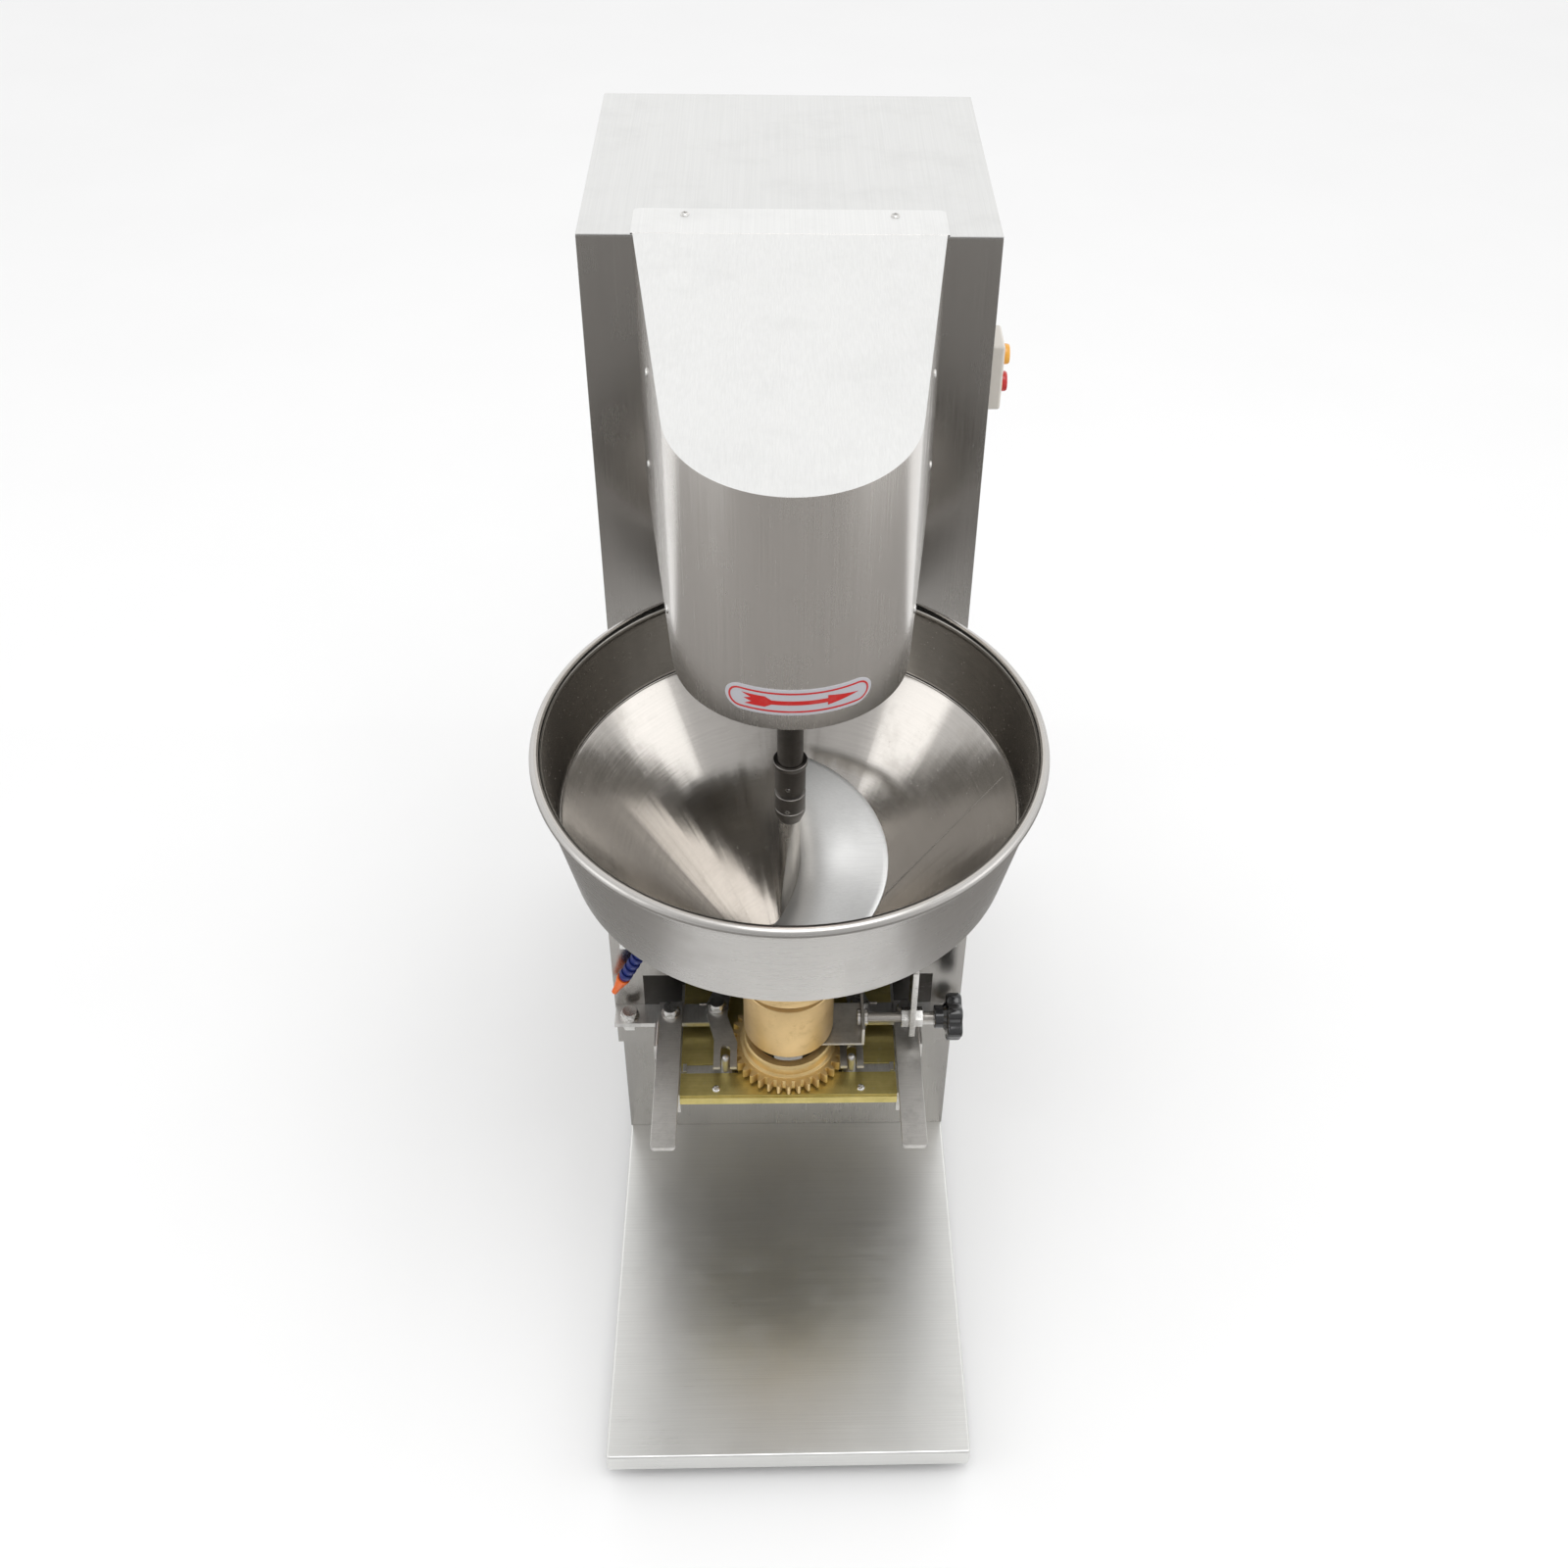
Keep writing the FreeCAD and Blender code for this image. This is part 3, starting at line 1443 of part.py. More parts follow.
MAKERS = {
    "base_pan": make_base_pan,
    "rubber_feet": make_rubber_feet,
    "column_shell": make_column_shell,
    "column_lid": make_column_lid,
    "rear_cover": make_rear_cover,
    "lower_cabinet": make_lower_cabinet,
    "front_housing": make_front_housing,
    "head_cover": make_head_cover,
    "direction_label": make_direction_label,
    "head_mount_plate": make_head_mount_plate,
    "bearing_housing": make_bearing_housing,
    "head_bearings": make_head_bearings,
    "head_shaft": make_head_shaft,
    "auger_pulley": make_auger_pulley,
    "motor_pulley": make_motor_pulley,
    "motor_shaft": make_motor_shaft,
    "drive_belt": make_drive_belt,
    "auger_motor": make_auger_motor,
    "hopper": make_hopper,
    "hopper_support_plate": make_hopper_support_plate,
    "hopper_brackets": make_hopper_brackets,
    "hopper_neck": make_hopper_neck,
    "forming_sleeve": make_forming_sleeve,
    "auger_flight": make_auger_flight,
    "auger_shaft": make_auger_shaft,
    "auger_coupling": make_auger_coupling,
    "slide_bed": make_slide_bed,
    "bed_supports": make_bed_supports,
    "gear_seat": make_gear_seat,
    "forming_gear": make_forming_gear,
    "drive_gear": make_drive_gear,
    "drive_axle": make_drive_axle,
    "knife_cam": make_knife_cam,
    "knife_left": make_knife_left,
    "knife_right": make_knife_right,
    "fork_left": make_fork_left,
    "fork_right": make_fork_right,
    "shelf_left": make_shelf_left,
    "shelf_right": make_shelf_right,
    "tray_arm_left": make_tray_arm_left,
    "tray_arm_right": make_tray_arm_right,
    "hex_bolts": make_hex_bolts,
    "gate_plate": make_gate_plate,
    "adjusting_screw": make_adjusting_screw,
    "adjuster_bracket": make_adjuster_bracket,
    "adjuster_nuts": make_adjuster_nuts,
    "star_knob": make_star_knob,
    "gearmotor_stand": make_gearmotor_stand,
    "gear_reducer": make_gear_reducer,
    "lower_motor": make_lower_motor,
    "switch_box": make_switch_box,
    "start_button": make_start_button,
    "stop_button": make_stop_button,
    "cable_gland": make_cable_gland,
    "hose_fitting": make_hose_fitting,
    "hose_segments": make_hose_segments,
    "hose_nozzle": make_hose_nozzle,
    "panel_screws": make_panel_screws,
}

os.makedirs("parts", exist_ok=True)
for name, make in MAKERS.items():
    shape = make()
    shape.exportStep(os.path.join("parts", name + ".step"))
    box = shape.BoundBox
    print(
        f"{name:22s} solids {len(shape.Solids):2d} valid {shape.isValid()} volume {shape.Volume / 1000:9.1f} cm3 "
        f"x {box.XMin:7.1f} {box.XMax:7.1f}  y {box.YMin:7.1f} {box.YMax:7.1f}  z {box.ZMin:7.1f} {box.ZMax:7.1f}"
    )
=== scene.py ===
import bpy
import json
import math
from mathutils import Matrix, Vector

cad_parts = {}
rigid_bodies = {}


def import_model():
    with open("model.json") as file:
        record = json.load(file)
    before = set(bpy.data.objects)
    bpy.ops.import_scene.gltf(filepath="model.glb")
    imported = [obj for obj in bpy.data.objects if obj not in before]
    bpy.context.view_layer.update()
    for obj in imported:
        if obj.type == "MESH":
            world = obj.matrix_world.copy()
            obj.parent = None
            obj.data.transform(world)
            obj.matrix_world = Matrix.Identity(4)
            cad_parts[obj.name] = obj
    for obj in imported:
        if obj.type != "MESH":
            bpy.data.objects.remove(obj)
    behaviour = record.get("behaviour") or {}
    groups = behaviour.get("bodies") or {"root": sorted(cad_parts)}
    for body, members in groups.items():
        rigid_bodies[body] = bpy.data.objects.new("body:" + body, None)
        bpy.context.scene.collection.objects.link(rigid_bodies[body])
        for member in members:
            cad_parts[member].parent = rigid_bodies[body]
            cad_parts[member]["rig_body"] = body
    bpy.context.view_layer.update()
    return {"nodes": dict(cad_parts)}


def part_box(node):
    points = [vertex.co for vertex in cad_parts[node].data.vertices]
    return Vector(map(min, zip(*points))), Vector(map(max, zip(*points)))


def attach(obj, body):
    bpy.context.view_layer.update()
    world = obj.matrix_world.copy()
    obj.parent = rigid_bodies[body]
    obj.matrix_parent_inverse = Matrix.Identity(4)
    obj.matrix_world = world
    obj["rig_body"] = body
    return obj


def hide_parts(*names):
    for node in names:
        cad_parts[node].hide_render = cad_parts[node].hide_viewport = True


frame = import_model()
nodes = frame["nodes"]
print("frame loaded,", len(nodes), "nodes")


# camera
camera = {
    "place": (-0.0131, -1.22015, 1.7557),
    "turn": 2.545, "dip": 39.203, "roll": 1.576,
    "lens": 38.313, "shift": (-0.03125, -0.09375),
}


def placeCamera():
    turn, dip, roll = (math.radians(camera[key]) for key in ("turn", "dip", "roll"))
    ahead = Vector((math.sin(turn) * math.cos(dip), math.cos(turn) * math.cos(dip), -math.sin(dip)))
    side = Vector((math.cos(turn), -math.sin(turn), 0))
    top = side.cross(ahead)
    right = math.cos(roll) * side + math.sin(roll) * top
    up = math.cos(roll) * top - math.sin(roll) * side
    data = bpy.data.cameras.new("camera")
    data.lens = camera["lens"]
    data.shift_x, data.shift_y = camera["shift"]
    obj = bpy.data.objects.new("camera", data)
    bpy.context.scene.collection.objects.link(obj)
    place = Matrix((right, up, -ahead)).transposed().to_4x4()
    place.translation = camera["place"]
    obj.matrix_world = place
    bpy.context.scene.camera = obj


placeCamera()
print("camera placed")


# shader tools
class Value:
    def __init__(self, shader, socket):
        self.shader = shader
        self.socket = socket

    def __add__(self, other):
        return self.shader.math("ADD", self, other)

    def __radd__(self, other):
        return self.shader.math("ADD", other, self)

    def __sub__(self, other):
        return self.shader.math("SUBTRACT", self, other)

    def __rsub__(self, other):
        return self.shader.math("SUBTRACT", other, self)

    def __mul__(self, other):
        return self.shader.math("MULTIPLY", self, other)

    def __rmul__(self, other):
        return self.shader.math("MULTIPLY", other, self)


class Shader:
    def __init__(self, name, world=None):
        self.material = world or bpy.data.materials.new(name)
        self.material.use_nodes = True
        self.tree = self.material.node_tree
        self.tree.nodes.clear()
        self.place = self.node("ShaderNodeTexCoord", {}, {}, "Generated" if world else "Object")

    def node(self, kind, settings, inputs, output=None):
        made = self.tree.nodes.new(kind)
        for key, value in settings.items():
            if key == "stops":
                ramp = made.color_ramp
                ramp.elements[0].position, ramp.elements[0].color = value[0]
                ramp.elements[1].position, ramp.elements[1].color = value[-1]
                for position, colour in value[1:-1]:
                    ramp.elements.new(position).color = colour
            else:
                setattr(made, key, value)
        for key, value in inputs.items():
            if isinstance(key, int):
                socket = made.inputs[key]
            else:
                socket = [s for s in made.inputs if s.enabled and s.name == key][0]
            if isinstance(value, Value):
                self.tree.links.new(value.socket, socket)
            else:
                socket.default_value = value
        if output is None:
            return None
        return Value(self, [s for s in made.outputs if s.enabled and s.name == output][0])

    def math(self, operation, first, second=0.0):
        return self.node("ShaderNodeMath", {"operation": operation}, {0: first, 1: second}, "Value")

    def stretched(self, scale, turn=(0, 0, 0)):
        inputs = {"Vector": self.place, "Scale": scale, "Rotation": turn}
        return self.node("ShaderNodeMapping", {}, inputs, "Vector")

    def noise(self, vector, scale=1.0, detail=3.0, rough=0.5):
        inputs = {"Vector": vector, "Scale": scale, "Detail": detail, "Roughness": rough}
        return self.node("ShaderNodeTexNoise", {}, inputs, "Fac")

    def band(self, value, low, high):
        inputs = {"Value": value, "From Min": low, "From Max": high}
        return self.node("ShaderNodeMapRange", {"clamp": True}, inputs, "Result")

    def mix(self, factor, first, second):
        inputs = {"Factor": factor, "A": first, "B": second}
        return self.node("ShaderNodeMix", {"data_type": "RGBA"}, inputs, "Result")

    def bump(self, height, distance, strength=1.0):
        inputs = {"Height": height, "Distance": distance, "Strength": strength}
        return self.node("ShaderNodeBump", {}, inputs, "Normal")

    def surface(self, inputs):
        shaded = self.node("ShaderNodeBsdfPrincipled", {}, inputs, "BSDF")
        self.node("ShaderNodeOutputMaterial", {}, {"Surface": shaded})
        return self.material


def shade(red, green, blue, level=1.0):
    return (red * level, green * level, blue * level, 1)


# finishes
def brushedSteel(name, tone, grain, rough=0.30, lines=0.10, cloud=0.10, marks=0.5):
    s = Shader(name)
    brush = s.noise(s.stretched(grain), 1.0, 5.0, 0.65)
    hair = s.noise(s.stretched([g * 3.1 for g in grain]), 1.0, 2.0)
    clouds = s.noise(s.place, 4.5, 4.0, 0.6)
    smears = s.band(s.noise(s.stretched((7, 9, 5), (0.3, 0.2, 0.5)), 2.2, 5.0, 0.7), 0.5, 0.8)
    scratch = s.band(s.noise(s.stretched((900, 16, 900), (0, 0, 0.7)), 1.0, 1.0), 0.70, 0.76)
    other = s.band(s.noise(s.stretched((14, 760, 760), (0.4, 0.2, -0.35)), 1.0, 1.0), 0.71, 0.76)
    worn = (scratch + other) * marks
    colour = s.mix(brush * 0.75 + clouds * 0.25, shade(*tone, 0.80), shade(*tone, 1.10))
    colour = s.mix(smears * 0.35, colour, shade(*tone, 0.82))
    return s.surface({
        "Base Color": colour, "Metallic": 1.0,
        "Roughness": (brush - 0.5) * lines + (clouds - 0.5) * cloud + smears * 0.06 + worn * 0.05 + rough,
        "Normal": s.bump(brush * 0.6 + hair * 0.4 - worn * 0.12, 0.00006),
    })


def roundSteel(name, tone, centre, rough=0.16, ripple=0.0008):
    # polished round the upright axis, with soft creases that run down the cone
    s = Shader(name)
    x = s.node("ShaderNodeSeparateXYZ", {}, {"Vector": s.place}, "X") - centre[0]
    y = s.node("ShaderNodeSeparateXYZ", {}, {"Vector": s.place}, "Y") - centre[1]
    z = s.node("ShaderNodeSeparateXYZ", {}, {"Vector": s.place}, "Z")
    angle = s.math("ARCTAN2", y, x)
    reach = s.math("SQRT", x * x + y * y)
    rings = s.node("ShaderNodeCombineXYZ", {}, {"X": reach * 520, "Y": angle * 2.2, "Z": z * 520}, "Vector")
    east = s.math("COSINE", angle)
    north = s.math("SINE", angle)
    around = {"X": east * 2.6, "Y": north * 2.6, "Z": reach * 1.4}
    folds = s.node("ShaderNodeCombineXYZ", {}, around, "Vector")
    brush = s.noise(rings, 1.0, 4.0, 0.6)
    creases = s.noise(folds, 1.6, 2.0, 0.45)
    stain = s.band(s.noise(s.place, 9.0, 6.0, 0.7), 0.52, 0.75)
    flecks = s.band(s.noise(s.place, 420.0, 2.0), 0.68, 0.74)
    colour = s.mix(brush, shade(*tone, 0.88), shade(*tone, 1.06))
    colour = s.mix(stain * 0.30 + flecks * 0.15, colour, shade(tone[0], tone[1] * 0.96, tone[2] * 0.9, 0.72))
    return s.surface({
        "Base Color": colour, "Metallic": 1.0,
        "Roughness": (brush - 0.5) * 0.08 + stain * 0.10 + flecks * 0.1 + rough,
        "Normal": s.bump(brush * 0.00003 + creases * ripple, 1.0),
    })


def machinedSteel(name, tone, rough=0.32, grain=(60, 900, 900), oiled=0.55):
    s = Shader(name)
    tool = s.noise(s.stretched(grain), 1.0, 3.0)
    oil = s.band(s.noise(s.place, 38.0, 5.0, 0.7), 0.48, 0.72)
    specks = s.band(s.noise(s.place, 900.0, 2.0), 0.66, 0.75)
    colour = s.mix(tool, shade(*tone, 0.82), shade(*tone, 1.12))
    colour = s.mix(oil * oiled, colour, shade(*tone, 0.55))
    return s.surface({
        "Base Color": s.mix(specks * 0.4, colour, shade(0.16, 0.13, 0.10)), "Metallic": 1.0,
        "Roughness": (tool - 0.5) * 0.14 + oil * 0.12 + rough,
        "Normal": s.bump(tool * 0.7 + specks * 0.3, 0.00006),
    })


def castBronze(name, tone, turnedRings=True):
    s = Shader(name)
    grains = s.noise(s.place, 700.0, 4.0, 0.6)
    patches = s.noise(s.place, 34.0, 5.0, 0.65)
    rings = s.noise(s.stretched((8, 8, 2600)), 1.0, 2.0)
    dirt = s.band(s.noise(s.place, 70.0, 6.0, 0.7), 0.55, 0.78)
    colour = s.mix(patches, shade(*tone, 0.80), shade(*tone, 1.12))
    colour = s.mix(dirt * 0.45, colour, shade(0.42, 0.27, 0.11))
    relief = rings * 0.00003 + grains * 0.00004 if turnedRings else grains * 0.00007
    return s.surface({
        "Base Color": colour, "Metallic": 0.82,
        "Roughness": (grains - 0.5) * 0.16 + dirt * 0.12 + 0.42,
        "Normal": s.bump(relief, 1.0),
    })


def brassSheet(name, tone):
    s = Shader(name)
    mill = s.noise(s.stretched((14, 700, 900)), 1.0, 4.0, 0.6)
    tarnish = s.band(s.noise(s.place, 26.0, 6.0, 0.7), 0.42, 0.70)
    drops = s.band(s.noise(s.place, 120.0, 3.0, 0.6), 0.62, 0.72)
    colour = s.mix(mill, shade(*tone, 0.78), shade(*tone, 1.15))
    colour = s.mix(tarnish * 0.45, colour, shade(0.34, 0.29, 0.07))
    colour = s.mix(drops * 0.35, colour, shade(0.62, 0.55, 0.30))
    return s.surface({
        "Base Color": colour, "Metallic": 0.92,
        "Roughness": (mill - 0.5) * 0.16 + tarnish * 0.12 + 0.34,
        "Normal": s.bump(mill, 0.00006),
    })


def mouldedPlastic(name, tone, rough=0.32, coat=0.0, grain=0.00004, dust=0.3):
    s = Shader(name)
    skin = s.noise(s.place, 1500.0, 2.0)
    wear = s.band(s.noise(s.place, 90.0, 5.0, 0.7), 0.55, 0.8)
    colour = s.mix(skin * 0.35, shade(*tone, 0.92), shade(*tone, 1.12))
    colour = s.mix(wear * dust * 0.35, colour, shade(0.35, 0.34, 0.32))
    return s.surface({
        "Base Color": colour, "Roughness": (skin - 0.5) * 0.08 + wear * 0.18 + rough,
        "Coat Weight": coat, "Coat Roughness": 0.12,
        "Normal": s.bump(skin, grain),
    })


def paintedIron(name, tone):
    s = Shader(name)
    cells = {"Vector": s.place, "Scale": 330.0}
    hammer = s.node("ShaderNodeTexVoronoi", {"feature": "SMOOTH_F1"}, cells, "Distance")
    chips = s.band(s.noise(s.place, 46.0, 6.0, 0.75), 0.66, 0.70)
    dust = s.noise(s.place, 12.0, 4.0, 0.6)
    colour = s.mix(dust, shade(*tone, 0.85), shade(*tone, 1.2))
    return s.surface({
        "Base Color": s.mix(chips, colour, shade(0.22, 0.20, 0.19)),
        "Metallic": chips * 0.8, "Roughness": dust * 0.2 + 0.35,
        "Normal": s.bump(hammer * 0.7 - chips * 0.3, 0.0003),
    })


def printedFilm(name, tone, metal=0.0, rough=0.3):
    s = Shader(name)
    flake = s.noise(s.place, 2600.0, 2.0)
    age = s.band(s.noise(s.place, 60.0, 5.0, 0.7), 0.5, 0.8)
    colour = s.mix(flake * 0.5, shade(*tone, 0.94), shade(*tone, 1.05))
    return s.surface({
        "Base Color": s.mix(age * 0.15, colour, shade(0.5, 0.48, 0.46)), "Metallic": metal,
        "Roughness": flake * 0.08 + age * 0.1 + rough,
        "Normal": s.bump(flake, 0.00002),
    })


def weldMetal(name):
    s = Shader(name)
    scale = s.noise(s.place, 1400.0, 3.0, 0.6)
    tint = s.noise(s.place, 160.0, 3.0)
    colour = s.mix(tint, shade(0.62, 0.58, 0.52), shade(0.36, 0.33, 0.34))
    return s.surface({
        "Base Color": colour, "Metallic": 1.0, "Roughness": scale * 0.2 + 0.24,
        "Normal": s.bump(scale, 0.0001),
    })


def mouldedRubber(name):
    s = Shader(name)
    pores = s.noise(s.place, 1100.0, 3.0)
    dust = s.band(s.noise(s.place, 30.0, 5.0, 0.7), 0.45, 0.8)
    return s.surface({
        "Base Color": s.mix(dust * 0.5, shade(0.022, 0.022, 0.023), shade(0.14, 0.13, 0.12)),
        "Roughness": pores * 0.2 + dust * 0.1 + 0.6, "Normal": s.bump(pores, 0.00012),
    })


axisY = sum(corner.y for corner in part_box("auger_shaft")) / 2
upright = (820, 820, 7)
flat = (820, 7, 820)
crosswise = (7, 820, 820)
finish = {
    # the upright casing sheets get a far darker tone than the flat ones: painted shade for the dark
    # surroundings their faces reflect
    "sheetUpright": brushedSteel("sheetUpright", (0.40, 0.385, 0.365), upright, 0.25, 0.10, 0.08, 0.2),
    "sheetFlat": brushedSteel("sheetFlat", (0.68, 0.68, 0.67), flat, 0.36, 0.12, 0.12),
    "sheetTop": brushedSteel("sheetTop", (0.76, 0.76, 0.75), flat, 0.38, 0.10, 0.12),
    "sheetNose": brushedSteel("sheetNose", (0.76, 0.73, 0.695), upright, 0.25, 0.10, 0.10, 0.2),
    "sheetBase": brushedSteel("sheetBase", (0.78, 0.78, 0.76), crosswise, 0.31, 0.10, 0.14),
    "bowlInside": roundSteel("bowlInside", (0.52, 0.495, 0.465), (0, axisY)),
    # the inside band under the rim is given a darker tone than the cone: painted shade for the deep hollow of
    # the bowl
    "bowlBand": roundSteel("bowlBand", (0.33, 0.315, 0.29), (0, axisY), 0.20),
    "bowlOutside": roundSteel("bowlOutside", (0.53, 0.515, 0.495), (0, axisY), 0.28, 0.0014),
    "paddle": brushedSteel("paddle", (0.83, 0.83, 0.82), crosswise, 0.50, 0.08, 0.10, 0.9),
    "shaft": machinedSteel("shaft", (0.70, 0.68, 0.65), 0.17, (900, 900, 60), 0.12),
    "darkShaft": machinedSteel("darkShaft", (0.24, 0.225, 0.21), 0.32, (60, 60, 1400)),
    "plateSteel": machinedSteel("plateSteel", (0.62, 0.605, 0.58), 0.36),
    "milledSteel": machinedSteel("milledSteel", (0.66, 0.65, 0.63), 0.38, (900, 60, 900)),
    "zinc": machinedSteel("zinc", (0.72, 0.71, 0.69), 0.22),
    "bronze": castBronze("bronze", (0.80, 0.58, 0.29)),
    "toothBronze": castBronze("toothBronze", (0.80, 0.60, 0.29), False),
    "brass": brassSheet("brass", (0.68, 0.57, 0.22)),
    "knobBlack": mouldedPlastic("knobBlack", (0.006, 0.006, 0.007), 0.16, 0.7, 0.00002, 0.05),
    "dullBlack": mouldedPlastic("dullBlack", (0.02, 0.02, 0.021), 0.5),
    "linkBlue": mouldedPlastic("linkBlue", (0.012, 0.024, 0.17), 0.34, 0.1),
    "tipOrange": mouldedPlastic("tipOrange", (0.86, 0.15, 0.01), 0.36, 0.0),
    "amber": mouldedPlastic("amber", (0.86, 0.42, 0.05), 0.28, 0.4),
    "stopRed": mouldedPlastic("stopRed", (0.55, 0.02, 0.02), 0.28, 0.4),
    "milky": mouldedPlastic("milky", (0.70, 0.66, 0.60), 0.36, 0.2),
    "iron": paintedIron("iron", (0.07, 0.075, 0.08)),
    "motorBlue": paintedIron("motorBlue", (0.05, 0.12, 0.22)),
    "silverFilm": printedFilm("silverFilm", (0.60, 0.60, 0.64), 0.2, 0.34),
    "redPrint": printedFilm("redPrint", (0.60, 0.012, 0.010), 0.0, 0.4),
    "weld": weldMetal("weld"),
    "rubber": mouldedRubber("rubber"),
}
print("finishes made,", len(finish))


# modelling tools
def pick(obj):
    bpy.ops.object.select_all(action="DESELECT")
    obj.select_set(True)
    bpy.context.view_layer.objects.active = obj


def applied(obj, kind, **settings):
    pick(obj)
    modifier = obj.modifiers.new(kind.title(), kind)
    for key, value in settings.items():
        setattr(modifier, key, value)
    bpy.ops.object.modifier_apply(modifier=modifier.name)


def rounded(obj, width, segments=2, angle=30, clamp=True):
    applied(
        obj, "BEVEL", width=width, segments=segments, limit_method="ANGLE",
        angle_limit=math.radians(angle), use_clamp_overlap=clamp,
    )


def smoothed(obj, angle=32, weighted=False):
    pick(obj)
    bpy.ops.object.shade_smooth_by_angle(angle=math.radians(angle))
    if weighted:
        applied(obj, "WEIGHTED_NORMAL", mode="FACE_AREA", weight=60, keep_sharp=True)  # flat faces stay flat


def settled(obj):
    pick(obj)
    bpy.ops.object.transform_apply(location=True, rotation=True, scale=True)


def joined(parts):
    for part in parts:
        settled(part)
    pick(parts[0])
    for part in parts[1:]:
        part.select_set(True)
    if len(parts) > 1:
        bpy.ops.object.join()
    return bpy.context.object


def drawnLine(points):
    # a line through (x, z) points, extruded vertex by vertex and left in edit mode
    bpy.ops.object.select_all(action="DESELECT")
    bpy.ops.mesh.primitive_plane_add(size=0.001)
    bpy.ops.object.mode_set(mode="EDIT")
    bpy.ops.mesh.merge(type="CENTER")
    bpy.ops.transform.translate(value=(points[0][0], 0, points[0][1]))
    for before, after in zip(points, points[1:]):
        step = (after[0] - before[0], 0, after[1] - before[1])
        bpy.ops.mesh.extrude_region_move(TRANSFORM_OT_translate={"value": step})
    return bpy.context.object


def turnedProfile(points, steps=96):
    # an outline of (radius, height) points, spun round the upright axis
    obj = drawnLine(points)
    bpy.ops.mesh.select_all(action="SELECT")
    bpy.ops.mesh.spin(steps=steps, angle=math.tau, center=(0, 0, 0), axis=(0, 0, 1))
    bpy.ops.mesh.select_all(action="SELECT")
    bpy.ops.mesh.remove_doubles(threshold=0.000002)
    bpy.ops.mesh.normals_make_consistent(inside=False)
    bpy.ops.object.mode_set(mode="OBJECT")
    return obj


def arcPoints(centre, radius, first, last, count):
    turns = [math.radians(first + (last - first) * i / (count - 1)) for i in range(count)]
    return [(centre[0] + radius * math.cos(t), centre[1] + radius * math.sin(t)) for t in turns]


def copied(obj, matrix):
    made = bpy.data.objects.new(obj.name, obj.data.copy())
    bpy.context.scene.collection.objects.link(made)
    made.matrix_world = matrix
    return made


def facing(direction, place):
    turn = Vector((0, 0, 1)).rotation_difference(Vector(direction))
    return Matrix.Translation(Vector(place)) @ turn.to_matrix().to_4x4()


def finished(obj, name, node, look, replaces=()):
    # the piece takes its body from a CAD node beside it
    settled(obj)
    obj.name = name
    obj.data.name = name
    obj.data.materials.clear()
    obj.data.materials.append(finish[look])
    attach(obj, nodes[node]["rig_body"])
    if replaces:
        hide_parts(*replaces)
    return obj


def softened(node, name, look, width, segments=2, angle=30, clamp=True):
    # a merged copy of a CAD node with its sharp edges broken, as a fitter would file them
    obj = bpy.data.objects.new(name, nodes[node].data.copy())
    bpy.context.scene.collection.objects.link(obj)
    pick(obj)
    bpy.ops.mesh.customdata_custom_splitnormals_clear()
    bpy.ops.object.mode_set(mode="EDIT")
    bpy.ops.mesh.select_all(action="SELECT")
    bpy.ops.mesh.remove_doubles(threshold=0.000003)
    bpy.ops.mesh.dissolve_limited(angle_limit=math.radians(0.6))
    bpy.ops.object.mode_set(mode="OBJECT")
    rounded(obj, width, segments, angle, clamp)
    smoothed(obj, 32, True)
    return finished(obj, name, node, look, (node,))


def otherFinish(obj, look, test):
    # a second finish for the faces that pass the test
    obj.data.materials.append(finish[look])
    index = len(obj.data.materials) - 1
    for face in obj.data.polygons:
        if test(face):
            face.material_index = index


def weldBead(name, node, path, size, look="weld"):
    # overlapping ripples of weld metal along a path of points
    bpy.ops.object.select_all(action="DESELECT")
    bpy.ops.mesh.primitive_uv_sphere_add(segments=8, ring_count=5, radius=size)
    ripple = bpy.context.object
    parts = []
    for i, (before, after) in enumerate(zip(path, path[1:])):
        along = after - before
        wobble = 1 + 0.12 * math.sin(i * 2.3)
        turn = facing(along, (before + after) / 2)
        parts.append(copied(ripple, turn @ Matrix.Diagonal((wobble, wobble, 0.75, 1))))
    bpy.data.objects.remove(ripple)
    bead = joined(parts)
    smoothed(bead, 60)
    return finished(bead, name, node, look)


def straightPath(start, end, pitch):
    # points between two ends, near enough for the ripples to overlap
    start, end = Vector(start), Vector(end)
    count = max(2, round((end - start).length / pitch))
    return [start.lerp(end, i / count) for i in range(count + 1)]


